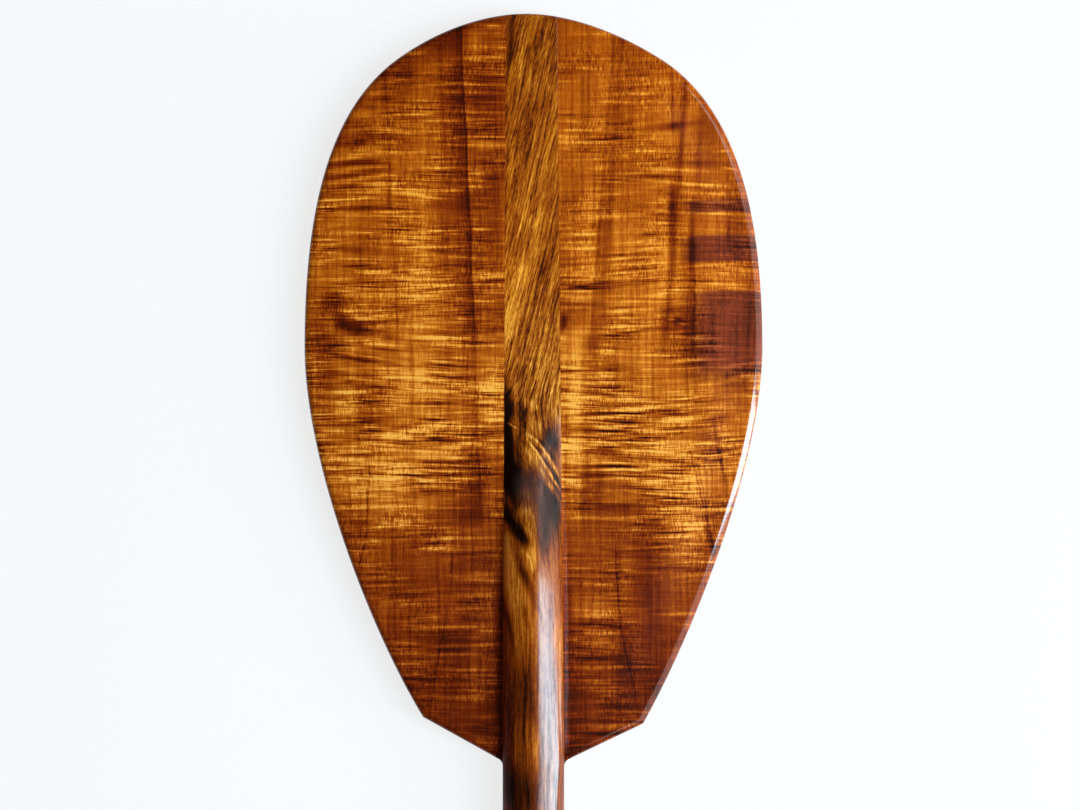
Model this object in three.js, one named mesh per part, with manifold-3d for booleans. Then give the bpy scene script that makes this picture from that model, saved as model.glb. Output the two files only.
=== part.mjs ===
// An outrigger canoe paddle with a wide teardrop blade, in figured hardwood, drawn in millimetres.
// It lies on its back: X runs across the blade, Y along the shaft to the blade's tip, Z up from the floor.
// One long stick is both the shaft and the blade's centre strip. A board is glued to each side of it,
// located by a loose tongue in a groove, and a palm grip sits on a tenon at the shaft's far end.
import * as THREE from 'three';
import { mergeVertices, toCreasedNormals } from 'three/addons/utils/BufferGeometryUtils.js';
import Module from 'manifold-3d';

const wasm = await Module();
wasm.setup();

// Whole paddle
const PADDLE_LENGTH = 1270;
const GLUE_GAP = 0.3;

// Blade outline. Stations are measured from the tip, along the shaft. A reach is the length of a
// curve's handle, which says how long the outline keeps its direction there.
const BLADE_LENGTH = 457;
const BLADE_WIDTH = 280;
const WIDEST_STATION = 203.8;
const APEX_OFFSET = -4.5;
const CROWN_REACH = 41.5;
const HAUNCH_REACH_IN = 11.5;
const HAUNCH_REACH_OUT = 49.5;
const WIDEST_REACH_UP = 80;
const WIDEST_REACH_DOWN = 71.5;
const SHOULDER_REACH = 57.5;
const ROOT_FILLET = 5;

// The two sides were shaped by hand and differ by a few millimetres. The haunch is where the crown
// turns down into the flank, and the shoulder is the corner where the flank ends, above the root.
const LEFT = {
  name: 'left',
  sign: -1,
  haunch: { out: 88.9, station: 32.1, slope: 40.4 },
  shoulder: { out: 67.5, aboveRoot: 27, slope: 31.7 },
  stripHalfWidthAtTip: 16.8,
};
const RIGHT = {
  name: 'right',
  sign: 1,
  haunch: { out: 87.4, station: 34.4, slope: 39.8 },
  shoulder: { out: 67, aboveRoot: 23, slope: 29.5 },
  stripHalfWidthAtTip: 14.2,
};
const SIDES = [LEFT, RIGHT];

// Blade thickness: flat boards that thin towards a rounded rim
const BLADE_THICKNESS = 9.5;
const RIM_THICKNESS = 6.4;
const THINNED_BAND = 34;

// Shaft
const SHAFT_WIDTH = 37.6;
const SHAFT_DEPTH = 36;
const ROUNDING_LENGTH = 34;

// How far above the root the shaft's ridge is at its full height, and where it has sunk into the blade
const FRONT_RIDGE = { full: 105, sunk: 235 };
const BACK_RIDGE = { full: 127, sunk: 281 };

// Loose tongues in the two glue joints
const TONGUE_THICKNESS = 3;
const TONGUE_WIDTH = 14;
const TONGUE_BELOW_TIP = 58;
const TONGUE_ABOVE_ROOT = 53;
const TONGUE_PLAY = 0.3;

// Palm grip, measured from the end of the shaft
const GRIP_WIDTH = 120;
const GRIP_HEIGHT = 58;
const GRIP_DEPTH = 36;
const GRIP_WIDEST = 37;
const GRIP_WAIST_DEPTH = 33;
const GRIP_NECK_REACH = 27;
const GRIP_ARM_REACH = 17;
const GRIP_SQUARENESS = 3.2;

// Tenon on the shaft and its mortise in the grip
const TENON_WIDTH = 22;
const TENON_THICKNESS = 15;
const TENON_LENGTH = 32;
const TENON_PLAY = 0.3;
const MORTISE_END_ROOM = 1.5;

// How finely the curved faces are cut into flat ones
const CROWN_STEPS = 11;
const HAUNCH_STEPS = 14;
const FLANK_STEPS = 16;
const FILLET_STEPS = 4;
const NOSE_STEPS = 4;
const BAND_STEPS = 3;
const SHAFT_COLUMNS = 16;
const RIDGE_STEPS = 14;
const ROUNDING_STEPS = 5;
const GRIP_COLUMNS = 32;
const GRIP_NECK_STEPS = 14;
const GRIP_CROWN_STEPS = 9;
const CREASE = Math.PI / 5;

const WING_COLOUR = 0x9e4f17;
const STICK_COLOUR = 0x854815;
const TONGUE_COLOUR = 0xb98a4e;
const POLISHED = 0.28;
const UNFINISHED = 0.7;

const TIP_Y = PADDLE_LENGTH / 2;
const AXIS_Z = Math.max(SHAFT_DEPTH, GRIP_DEPTH) / 2;
const SHAFT_END = PADDLE_LENGTH - GRIP_HEIGHT;
const HALF_THICKNESS = BLADE_THICKNESS / 2;
const NOSE_RADIUS = RIM_THICKNESS / 2;

// A place on the paddle: distance to the right of the shaft's axis, station from the tip, height over the axis
const place = (x, station, height = 0) => new THREE.Vector3(x, TIP_Y - station, AXIS_Z + height);

const eased = (share) => THREE.MathUtils.smoothstep(share, 0, 1);

// Solids

// Triangles that close a ring which was drawn across the front and back again below
function stripCap(count) {
  const faces = [];
  for (let i = 0; i < count / 2 - 1; i++) {
    const opposite = count - 1 - i;
    faces.push([i, i + 1, opposite], [i + 1, opposite - 1, opposite]);
  }
  return faces;
}

// The closed solid through a run of rings with as many points each. A ring may shrink to a line or a point.
function loft(rings, cap = stripCap(rings[0].length)) {
  const count = rings[0].length;
  const faces = [];
  for (let r = 0; r + 1 < rings.length; r++)
    for (let i = 0; i < count; i++) {
      const a = r * count + i;
      const b = r * count + ((i + 1) % count);
      faces.push([a, b, b + count], [a, b + count, a + count]);
    }
  const last = (rings.length - 1) * count;
  for (const [a, b, c] of cap) faces.push([a, c, b], [last + a, last + b, last + c]);

  const loose = new THREE.BufferGeometry();
  loose.setAttribute('position', new THREE.Float32BufferAttribute(rings.flat().flatMap((p) => p.toArray()), 3));
  loose.setIndex(faces.flat());
  return solidFrom(loose);
}

// Merges the shared corners, leaves out the faces that shrank to nothing and turns the rest outwards.
function solidFrom(geometry) {
  const bare = new THREE.BufferGeometry();
  bare.setAttribute('position', geometry.getAttribute('position'));
  bare.setIndex(geometry.index);
  const merged = mergeVertices(bare, 1e-3);
  const corner = (i) => new THREE.Vector3().fromBufferAttribute(merged.attributes.position, i);
  const faces = [];
  let volume = 0;
  for (let i = 0; i < merged.index.count; i += 3) {
    const [a, b, c] = merged.index.array.slice(i, i + 3);
    if (a === b || b === c || c === a) continue;
    faces.push([a, b, c]);
    volume += corner(a).dot(corner(b).cross(corner(c)));
  }
  if (volume < 0) faces.forEach((face) => face.reverse());
  return new wasm.Manifold(new wasm.Mesh({
    numProp: 3,
    vertProperties: merged.attributes.position.array,
    triVerts: new Uint32Array(faces.flat()),
  }));
}

function woodenPiece(name, solid, colour, roughness) {
  const mesh = solid.getMesh();
  const geometry = new THREE.BufferGeometry();
  geometry.setAttribute('position', new THREE.BufferAttribute(mesh.vertProperties, mesh.numProp));
  geometry.setIndex(new THREE.BufferAttribute(mesh.triVerts, 1));
  const material = new THREE.MeshStandardMaterial({ color: colour, roughness, metalness: 0 });
  const piece = new THREE.Mesh(toCreasedNormals(geometry, CREASE), material);
  piece.name = name;
  return piece;
}

// Outline of the blade, a side at a time: x is the distance out from the shaft's axis, y the station.

const towards = (degrees, length) => new THREE.Vector2(length, 0)
  .rotateAround(new THREE.Vector2(), THREE.MathUtils.degToRad(degrees));

// From the blade's apex to the haunch
function crownCurve({ sign, haunch }) {
  const apex = new THREE.Vector2(APEX_OFFSET * sign, 0);
  const end = new THREE.Vector2(haunch.out, haunch.station);
  return new THREE.CubicBezierCurve(
    apex,
    apex.clone().add(towards(0, CROWN_REACH)),
    end.clone().sub(towards(haunch.slope, HAUNCH_REACH_IN)),
    end,
  );
}

// From the haunch to the blade's widest place
function haunchCurve({ haunch }) {
  const start = new THREE.Vector2(haunch.out, haunch.station);
  const widest = new THREE.Vector2(BLADE_WIDTH / 2, WIDEST_STATION);
  return new THREE.CubicBezierCurve(
    start,
    start.clone().add(towards(haunch.slope, HAUNCH_REACH_OUT)),
    widest.clone().sub(towards(90, WIDEST_REACH_UP)),
    widest,
  );
}

const shoulderCorner = ({ shoulder }) => new THREE.Vector2(shoulder.out, BLADE_LENGTH - shoulder.aboveRoot);

// From the widest place to the shoulder's corner
function flankCurve(side) {
  const widest = new THREE.Vector2(BLADE_WIDTH / 2, WIDEST_STATION);
  const corner = shoulderCorner(side);
  return new THREE.CubicBezierCurve(
    widest,
    widest.clone().add(towards(90, WIDEST_REACH_DOWN)),
    corner.clone().sub(towards(90 + side.shoulder.slope, SHOULDER_REACH)),
    corner,
  );
}

// The straight shoulder is joined to the shaft's side by a small hollow arc.
function rootArc(side) {
  const root = new THREE.Vector2(SHAFT_WIDTH / 2, BLADE_LENGTH);
  const along = root.clone().sub(shoulderCorner(side)).normalize();
  const turn = Math.acos(along.y);
  const middle = new THREE.Vector2(root.x + ROOT_FILLET, root.y + ROOT_FILLET * Math.tan(turn / 2));
  return new THREE.EllipseCurve(middle.x, middle.y, ROOT_FILLET, ROOT_FILLET, Math.PI + turn, Math.PI, true);
}

const crownPoints = (side) => [
  ...crownCurve(side).getSpacedPoints(CROWN_STEPS),
  ...haunchCurve(side).getSpacedPoints(HAUNCH_STEPS).slice(1),
];

const flankPoints = (side) => [
  ...flankCurve(side).getSpacedPoints(FLANK_STEPS).slice(1),
  ...rootArc(side).getPoints(FILLET_STEPS),
];

// Half the centre strip's width at a station: it tapers from the shaft's width to the tip.
function stripHalfWidth(side, station) {
  const share = THREE.MathUtils.clamp(station / BLADE_LENGTH, 0, 1);
  return THREE.MathUtils.lerp(side.stripHalfWidthAtTip, SHAFT_WIDTH / 2, share);
}

// Half the blade's thickness at a distance in from the rim
function halfThicknessAt(inset) {
  if (inset < NOSE_RADIUS) return Math.sqrt(NOSE_RADIUS ** 2 - (NOSE_RADIUS - inset) ** 2);
  return THREE.MathUtils.lerp(NOSE_RADIUS, HALF_THICKNESS, eased((inset - NOSE_RADIUS) / THINNED_BAND));
}

// Distances in from the rim where the blade's surface is cut into facets: round the nose, then over the band
const RIM_INSETS = [];
for (let i = 0; i <= NOSE_STEPS; i++)
  RIM_INSETS.push(NOSE_RADIUS * (1 - Math.cos((i / NOSE_STEPS) * (Math.PI / 2))));
for (let i = 1; i <= BAND_STEPS; i++)
  RIM_INSETS.push(NOSE_RADIUS + (THINNED_BAND * i) / BAND_STEPS);

// Glue joints

// Lays a block on a side's glue joint, at a station and a distance out from the strip's edge.
// The block is drawn upright: its X points out of the strip and its Y along the joint.
function layOnJoint(block, side, station, out) {
  const lean = Math.atan2(SHAFT_WIDTH / 2 - side.stripHalfWidthAtTip, BLADE_LENGTH);
  const spot = place(side.sign * (stripHalfWidth(side, station) + out), station);
  return block.rotateZ(side.sign * lean).translate(spot.x, spot.y, spot.z);
}

// A tongue, or with play round it the groove that takes it
function tongue(side, play) {
  const start = TONGUE_BELOW_TIP;
  const end = BLADE_LENGTH - TONGUE_ABOVE_ROOT;
  const block = new THREE.BoxGeometry(
    TONGUE_WIDTH + 2 * play,
    end - start + 2 * play,
    TONGUE_THICKNESS + 2 * play,
  );
  return solidFrom(layOnJoint(block, side, (start + end) / 2, GLUE_GAP / 2));
}

// Wings

// A corner of a closed outline moved inwards, so that both edges beside it move in by the same distance
function insetCorner(outline, i, distance) {
  const corner = outline[i];
  const before = corner.clone().sub(outline.at(i - 1)).normalize();
  const after = outline[(i + 1) % outline.length].clone().sub(corner).normalize();
  const inwards = new THREE.Vector2(-before.y - after.y, before.x + after.x);
  return corner.clone().addScaledVector(inwards, distance / (1 + before.dot(after)));
}

// The board before it is cut to the joint: it runs on past the strip and past the root.
function wingBlank(side) {
  const other = side === LEFT ? RIGHT : LEFT;
  const beyond = crownPoints(other).slice(1).map((p) => new THREE.Vector2(-p.x, p.y)).reverse();
  const end = BLADE_LENGTH + BLADE_WIDTH / 2;
  const outline = [
    ...beyond,
    ...crownPoints(side),
    ...flankPoints(side),
    new THREE.Vector2(SHAFT_WIDTH / 2, end),
    new THREE.Vector2(-BLADE_WIDTH / 2, end),
  ];
  const insetOutline = (inset) => outline.map((_, i) => insetCorner(outline, i, inset));
  const contour = (inset, up) => insetOutline(inset)
    .map((p) => place(side.sign * p.x, p.y, up * halfThicknessAt(inset)));
  const back = RIM_INSETS.toReversed().map((inset) => contour(inset, -1));
  const front = RIM_INSETS.slice(1).map((inset) => contour(inset, 1));
  return loft([...back, ...front], THREE.ShapeUtils.triangulateShape(insetOutline(RIM_INSETS.at(-1)), []));
}

function wing(side) {
  const keep = new THREE.BoxGeometry(BLADE_WIDTH, 2 * BLADE_LENGTH, 2 * BLADE_THICKNESS);
  layOnJoint(keep, side, BLADE_LENGTH / 2, GLUE_GAP + BLADE_WIDTH / 2);
  return wingBlank(side).intersect(solidFrom(keep)).subtract(tongue(side, TONGUE_PLAY));
}

// Shaft and centre strip

// The station of the blade's edge at the strip's end, at a distance to the right of the axis
function crownStation(x) {
  const side = x < APEX_OFFSET ? LEFT : RIGHT;
  const curve = crownCurve(side);
  let low = 0;
  let high = 1;
  for (let i = 0; i < 30; i++) {
    const middle = (low + high) / 2;
    if (curve.getPoint(middle).x < x * side.sign) low = middle;
    else high = middle;
  }
  return curve.getPoint(low).y;
}

// A section of the stick. The ridge on each face is an arch over the strip's whole width:
// low and flared where it starts, and half an ellipse where it has become the shaft.
function stickSection(station, halfEdge, stationAt = () => station) {
  const left = -stripHalfWidth(LEFT, station);
  const right = stripHalfWidth(RIGHT, station);
  const rise = (ridge, across) => {
    const grown = eased((ridge.sunk - (BLADE_LENGTH - station)) / (ridge.sunk - ridge.full));
    return (SHAFT_DEPTH / 2 - halfEdge) * grown * Math.cos(across) ** (2 - grown);
  };
  const front = [];
  const back = [];
  for (let j = 0; j <= SHAFT_COLUMNS; j++) {
    const across = (j / SHAFT_COLUMNS - 0.5) * Math.PI;
    const x = THREE.MathUtils.lerp(left, right, (1 + Math.sin(across)) / 2);
    front.push(place(x, stationAt(x), halfEdge + rise(FRONT_RIDGE, across)));
    back.push(place(x, stationAt(x), -halfEdge - rise(BACK_RIDGE, across)));
  }
  return [...front, ...back.reverse()];
}

function stick() {
  const sections = RIM_INSETS.map((inset) =>
    stickSection(inset, halfThicknessAt(inset), (x) => crownStation(x) + inset));
  const sunk = BLADE_LENGTH - Math.max(FRONT_RIDGE.sunk, BACK_RIDGE.sunk);
  const full = BLADE_LENGTH - Math.min(FRONT_RIDGE.full, BACK_RIDGE.full);
  for (let i = 0; i <= RIDGE_STEPS; i++)
    sections.push(stickSection(THREE.MathUtils.lerp(sunk, full, i / RIDGE_STEPS), HALF_THICKNESS));
  for (let i = 0; i <= ROUNDING_STEPS; i++) {
    const share = i / ROUNDING_STEPS;
    sections.push(stickSection(BLADE_LENGTH + share * ROUNDING_LENGTH, HALF_THICKNESS * (1 - share)));
  }
  sections.push(stickSection(SHAFT_END, 0));
  return loft(sections)
    .subtract(tongue(LEFT, TONGUE_PLAY))
    .subtract(tongue(RIGHT, TONGUE_PLAY))
    .add(tenon(SHAFT_END - TENON_LENGTH, SHAFT_END + TENON_LENGTH, 0));
}

// The tenon between two stations, or with play round it the mortise that takes it
function tenon(start, end, play) {
  const block = new THREE.BoxGeometry(TENON_WIDTH + 2 * play, end - start, TENON_THICKNESS + 2 * play);
  const middle = place(0, (start + end) / 2);
  return solidFrom(block.translate(middle.x, middle.y, middle.z));
}

// Palm grip

// The grip's sections from the neck, which carries on the shaft's section, to its widest place
function neckSections() {
  const profile = new THREE.CubicBezierCurve(
    new THREE.Vector2(SHAFT_WIDTH / 2, GLUE_GAP),
    new THREE.Vector2(SHAFT_WIDTH / 2, GRIP_NECK_REACH),
    new THREE.Vector2(GRIP_WIDTH / 2, GRIP_WIDEST - GRIP_ARM_REACH),
    new THREE.Vector2(GRIP_WIDTH / 2, GRIP_WIDEST),
  );
  return profile.getSpacedPoints(GRIP_NECK_STEPS).map((p, i) => {
    const share = i / GRIP_NECK_STEPS;
    const straight = THREE.MathUtils.lerp(SHAFT_DEPTH, GRIP_DEPTH, share);
    const hollow = (Math.min(SHAFT_DEPTH, GRIP_DEPTH) - GRIP_WAIST_DEPTH) * Math.sin(Math.PI * share);
    return {
      halfWidth: p.x,
      along: p.y,
      halfDepth: (straight - hollow) / 2,
      squareness: THREE.MathUtils.lerp(2, GRIP_SQUARENESS, eased(share)),
    };
  });
}

// From the widest place over the top that the palm covers
function palmSections() {
  const sections = [];
  for (let i = 1; i <= GRIP_CROWN_STEPS; i++) {
    const angle = (i / GRIP_CROWN_STEPS) * (Math.PI / 2);
    const shrink = Math.max(Math.cos(angle), 0) ** 0.8;
    sections.push({
      halfWidth: (GRIP_WIDTH / 2) * shrink,
      along: GRIP_WIDEST + (GRIP_HEIGHT - GRIP_WIDEST) * Math.sin(angle) ** 0.9,
      halfDepth: (GRIP_DEPTH / 2) * shrink,
      squareness: GRIP_SQUARENESS,
    });
  }
  return sections;
}

function grip() {
  const rings = [...neckSections(), ...palmSections()].map(({ halfWidth, along, halfDepth, squareness }) => {
    const swell = (value) => Math.sign(value) * Math.abs(value) ** (2 / squareness);
    const ring = [];
    for (let j = 0; j < GRIP_COLUMNS; j++) {
      const angle = ((j + 0.5) / GRIP_COLUMNS) * 2 * Math.PI;
      ring.push(place(
        halfWidth * swell(Math.cos(angle)),
        SHAFT_END + along,
        halfDepth * swell(Math.sin(angle)),
      ));
    }
    return ring;
  });
  return loft(rings).subtract(tenon(SHAFT_END, SHAFT_END + TENON_LENGTH + MORTISE_END_ROOM, TENON_PLAY));
}

// Assembly
const paddle = new THREE.Group();
paddle.name = 'outrigger_paddle';
paddle.add(woodenPiece('shaft_and_centre_strip', stick(), STICK_COLOUR, POLISHED));
for (const side of SIDES) {
  paddle.add(woodenPiece(`${side.name}_blade_wing`, wing(side), WING_COLOUR, POLISHED));
  paddle.add(woodenPiece(`${side.name}_joint_tongue`, tongue(side, 0), TONGUE_COLOUR, UNFINISHED));
}
paddle.add(woodenPiece('palm_grip', grip(), STICK_COLOUR, POLISHED));

export default paddle;
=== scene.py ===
"""Looks of an outrigger canoe paddle: curly hardwood under clear gloss, lying on a white table.

The pieces are made in millimetres, as a distance to the right of the shaft's axis, a station from the
blade's tip and a height over the shaft's axis, and are then put in the model's frame in metres.
"""

import math

import bmesh
import bpy
import numpy as np
from mathutils import Matrix, Vector
from mathutils.geometry import interpolate_bezier


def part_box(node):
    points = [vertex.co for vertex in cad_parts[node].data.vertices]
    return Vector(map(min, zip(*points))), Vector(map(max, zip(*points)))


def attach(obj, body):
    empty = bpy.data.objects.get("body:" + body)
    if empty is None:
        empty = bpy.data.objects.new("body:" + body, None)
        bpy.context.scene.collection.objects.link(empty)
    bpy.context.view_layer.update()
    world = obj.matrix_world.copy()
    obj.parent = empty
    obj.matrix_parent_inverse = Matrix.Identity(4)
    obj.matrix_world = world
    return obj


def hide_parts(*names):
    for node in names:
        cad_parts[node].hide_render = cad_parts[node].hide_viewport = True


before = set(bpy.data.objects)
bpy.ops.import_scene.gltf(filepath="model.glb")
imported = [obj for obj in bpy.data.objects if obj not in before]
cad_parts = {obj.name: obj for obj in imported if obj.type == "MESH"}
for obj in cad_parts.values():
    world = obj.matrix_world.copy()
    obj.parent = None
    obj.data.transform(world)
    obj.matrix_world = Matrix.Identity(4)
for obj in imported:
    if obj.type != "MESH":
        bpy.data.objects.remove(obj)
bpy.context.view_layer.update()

bl_info = {
    "name": "Outrigger paddle looks",
    "version": (1, 0, 0),
    "blender": (4, 5, 0),
    "location": "3D View > Sidebar > Paddle",
    "description": "Shapes and finishes an outrigger canoe paddle round its packed model",
    "category": "Object",
}

# The frame, in metres
STICK_LOW, STICK_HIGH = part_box("shaft_and_centre_strip")
GRIP_LOW, GRIP_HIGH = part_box("palm_grip")
MM = 0.001
TIP_Y = STICK_HIGH.y / MM
GRIP_TOP = TIP_Y - GRIP_LOW.y / MM
AXIS_Z = (STICK_LOW.z + STICK_HIGH.z) / 2 / MM

# Blade outline and sections in millimetres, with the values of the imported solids
BLADE_LENGTH = 457
BLADE_WIDTH = 280
WIDEST_STATION = 203.8
APEX_OFFSET = -4.5
CROWN_REACH = 41.5
HAUNCH_REACH_IN = 11.5
HAUNCH_REACH_OUT = 49.5
WIDEST_REACH_UP = 80
WIDEST_REACH_DOWN = 71.5
SHOULDER_REACH = 57.5
ROOT_FILLET = 5
LEFT = {
    "name": "left",
    "sign": -1,
    "haunch": (88.9, 32.1, 40.4),
    "shoulder": (67.5, 27, 31.7),
    "strip_at_tip": 16.8,
}
RIGHT = {
    "name": "right",
    "sign": 1,
    "haunch": (87.4, 34.4, 39.8),
    "shoulder": (67, 23, 29.5),
    "strip_at_tip": 14.2,
}
HALF_THICKNESS = 4.75
RIM_HALF_THICKNESS = 3.2
THINNED_BAND = 34

# Stick
SHAFT_HALF_WIDTH = 18.8
SHAFT_HALF_DEPTH = 18
SHAFT_END = 1212
ROUNDING_LENGTH = 34
FRONT_RIDGE = (105, 235)
BACK_RIDGE = (127, 281)

# Tongues, tenon and grip
TONGUE_WIDTH = 14
TONGUE_THICKNESS = 3
TONGUE_STATIONS = (58, 404)
TONGUE_PLAY = 0.3
TONGUE_MIDDLE_OUT = 0.15
TENON_WIDTH = 22
TENON_THICKNESS = 15
TENON_LENGTH = 32
MORTISE_PLAY = 0.3
MORTISE_END_ROOM = 1.5
GRIP_WIDEST = 37
GRIP_WAIST_DEPTH = 33
GRIP_NECK_REACH = 27
GRIP_ARM_REACH = 17
GRIP_SQUARENESS = 3.2
TENON_SQUARENESS = 24
TENON_END_EASE = 0.8

# How finely the shapes are stepped
CURVE_SAMPLES = 400
CROWN_STEPS = 48
HAUNCH_STEPS = 72
FLANK_STEPS = 80
FILLET_STEPS = 12
NOSE_STEPS = 9
BAND_STEPS = 9
STICK_COLUMNS = 44
ROUNDING_STEPS = 12
SHAFT_STEPS = 23
GRIP_NECK_STEPS = 40
GRIP_CROWN_STEPS = 28
PROFILE_STEP = 0.1
PROFILE_REACH = 36
RIDGE_STEP = 4.0

# Cuts in the wings' flat faces: a coarse grid, and finer cuts beside the joint
GRID = 12
GRID_OUT = (14, 135)
FLAT_FACE_AREA = 60
FACING_UP = 0.9
CUTS_BESIDE_JOINT = 12
CLOSER_AT_JOINT = 1.4
STEP_BESIDE_JOINT = 3.0
START_BEFORE_RIDGE = 4
HOLLOW_MARGIN = 0.6
HOLLOW_FADE = 14

# Cosine of the least turn of the outline that counts as a corner, and the least crease in degrees
CORNER_TURN = 0.95
CREASE_ANGLE = 35


class BladeShape(bpy.types.PropertyGroup):
    joint_gap: bpy.props.FloatProperty(
        name="Joint gap",
        description="Width of the glue line between the stick and a wing",
        default=0.04 * MM,
        unit="LENGTH",
    )
    nose_width: bpy.props.FloatProperty(
        name="Rim rounding",
        description="How far in from the rim the rounding of its edge reaches",
        default=4.6 * MM,
        unit="LENGTH",
    )
    hollow_radius: bpy.props.FloatProperty(
        name="Hollow radius",
        description="Radius of the hollow between the blade's face and the shaft's ridge",
        default=4.2 * MM,
        unit="LENGTH",
    )


class WoodFinish(bpy.types.PropertyGroup):
    gloss_roughness: bpy.props.FloatProperty(
        name="Gloss roughness",
        description="Roughness of the clear finish",
        default=0.09,
        min=0,
        max=1,
        subtype="FACTOR",
    )
    stick_roughness: bpy.props.FloatProperty(
        name="Stick roughness",
        description="Roughness of the clear finish on the stick and the grip",
        default=0.19,
        min=0,
        max=1,
        subtype="FACTOR",
    )
    figure: bpy.props.FloatProperty(
        name="Curl",
        description="Strength of the curly figure across the grain",
        default=1.0,
        min=0,
        max=2,
    )
    fibre: bpy.props.FloatProperty(
        name="Fibre",
        description="Strength of the fine fibres along the grain",
        default=1.0,
        min=0,
        max=2,
    )
    purple: bpy.props.FloatVectorProperty(
        name="Heartwood tint",
        description="Colour of the purple-brown blocks at the right edge",
        default=(0.236, 0.032, 0.0105),
        subtype="COLOR",
    )
    # Painted sheen: this greyish colour is mixed into the stick's wood over the knot, where a soft
    # reflection lies. The knot's wood is dark, and the grey cast over it is painted light.
    painted_sheen: bpy.props.FloatVectorProperty(
        name="Ashen heart",
        description="Colour of the grey-black wood in the knot on the stick",
        default=(0.075, 0.036, 0.03),
        subtype="COLOR",
    )


class StageSetting(bpy.types.PropertyGroup):
    camera_height: bpy.props.FloatProperty(
        name="Camera height",
        description="Distance from the blade up to the camera",
        default=1.8,
        unit="LENGTH",
    )
    framed_width: bpy.props.FloatProperty(
        name="Framed width",
        description="Width of the table that the picture takes in at the blade",
        default=0.6603,
        unit="LENGTH",
    )
    window_power: bpy.props.FloatProperty(
        name="Window power",
        description="Power of the broad window on the right",
        default=26.5,
        unit="POWER",
    )
    strip_power: bpy.props.FloatProperty(
        name="Strip light power",
        description="Power of the tall narrow light that draws the streak along the shaft",
        default=158,
        unit="POWER",
    )
    skylight_power: bpy.props.FloatProperty(
        name="Skylight power",
        description="Power of the soft light beyond the blade's tip",
        default=1.8,
        unit="POWER",
    )
    room_level: bpy.props.FloatProperty(
        name="Room light",
        description="Strength of the even light from the room",
        default=0.1,
        min=0,
        max=1,
    )


# Shaping

def at(x, station, height=0.0):
    """A place on the paddle in metres: right of the axis, from the tip, over the axis."""
    return Vector((x * MM, (TIP_Y - station) * MM, (AXIS_Z + height) * MM))


def eased(share):
    """A share from 0 to 1 that starts and ends gently."""
    share = min(max(share, 0.0), 1.0)
    return share * share * (3 - 2 * share)


def mixed(a, b, share):
    """The value that lies at a share of the way from the first to the second."""
    return a + (b - a) * share


def towards(degrees, length):
    """A step of a length, at an angle from outwards towards the root."""
    angle = math.radians(degrees)
    return Vector((math.cos(angle), math.sin(angle))) * length


def even_curve(handles, count):
    """Points evenly spaced along a curve that is given by its ends and their handles."""
    fine = [p.to_2d() for p in interpolate_bezier(*[h.to_3d() for h in handles], CURVE_SAMPLES)]
    steps = np.array([(b - a).length for a, b in zip(fine, fine[1:])])
    reached = np.concatenate([[0], np.cumsum(steps)])
    wanted = np.linspace(0, reached[-1], count + 1)
    columns = [np.interp(wanted, reached, [p[k] for p in fine]) for k in (0, 1)]
    return [Vector(pair) for pair in zip(*columns)]


# Outline of the blade, a side at a time: the distance out from the shaft's axis, and the station

def crown_handles(side):
    """The curve from the blade's tip to the haunch, where the crown turns into the side."""
    out, station, slope = side["haunch"]
    apex = Vector((APEX_OFFSET * side["sign"], 0))
    end = Vector((out, station))
    return apex, apex + towards(0, CROWN_REACH), end - towards(slope, HAUNCH_REACH_IN), end


def crown_points(side):
    """The outline from the tip to the widest place."""
    out, station, slope = side["haunch"]
    start = Vector((out, station))
    widest = Vector((BLADE_WIDTH / 2, WIDEST_STATION))
    leaving = start + towards(slope, HAUNCH_REACH_OUT)
    arriving = widest - towards(90, WIDEST_REACH_UP)
    haunch = even_curve((start, leaving, arriving, widest), HAUNCH_STEPS)
    return even_curve(crown_handles(side), CROWN_STEPS) + haunch[1:]


def flank_points(side):
    """The outline from the widest place past the shoulder to the fillet at the root."""
    out, above_root, slope = side["shoulder"]
    widest = Vector((BLADE_WIDTH / 2, WIDEST_STATION))
    corner = Vector((out, BLADE_LENGTH - above_root))
    bend = corner - towards(90 + slope, SHOULDER_REACH)
    root = Vector((SHAFT_HALF_WIDTH, BLADE_LENGTH))
    along = (root - corner).normalized()
    turn = math.acos(along.y)
    middle = root + Vector((ROOT_FILLET, ROOT_FILLET * math.tan(turn / 2)))
    arc = []
    for i in range(FILLET_STEPS + 1):
        arc.append(middle + towards(180 + math.degrees(turn) * (1 - i / FILLET_STEPS), ROOT_FILLET))
    flank = even_curve((widest, widest + towards(90, WIDEST_REACH_DOWN), bend, corner), FLANK_STEPS)
    return flank[1:] + arc


def strip_half_width(side, station):
    """Distance from the axis to a side's glue joint. The strip narrows evenly towards the tip."""
    return mixed(side["strip_at_tip"], SHAFT_HALF_WIDTH, min(max(station / BLADE_LENGTH, 0), 1))


def rim_profile(nose_width):
    """Distances in from the rim, and half the blade's thickness there."""
    rows = []
    for i in range(NOSE_STEPS + 1):
        angle = i / NOSE_STEPS * math.pi / 2
        rows.append((nose_width * (1 - math.cos(angle)), RIM_HALF_THICKNESS * math.sin(angle)))
    for i in range(1, BAND_STEPS + 1):
        share = i / BAND_STEPS
        half = mixed(RIM_HALF_THICKNESS, HALF_THICKNESS, eased(share))
        rows.append((nose_width + THINNED_BAND * share, half))
    return rows


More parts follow.
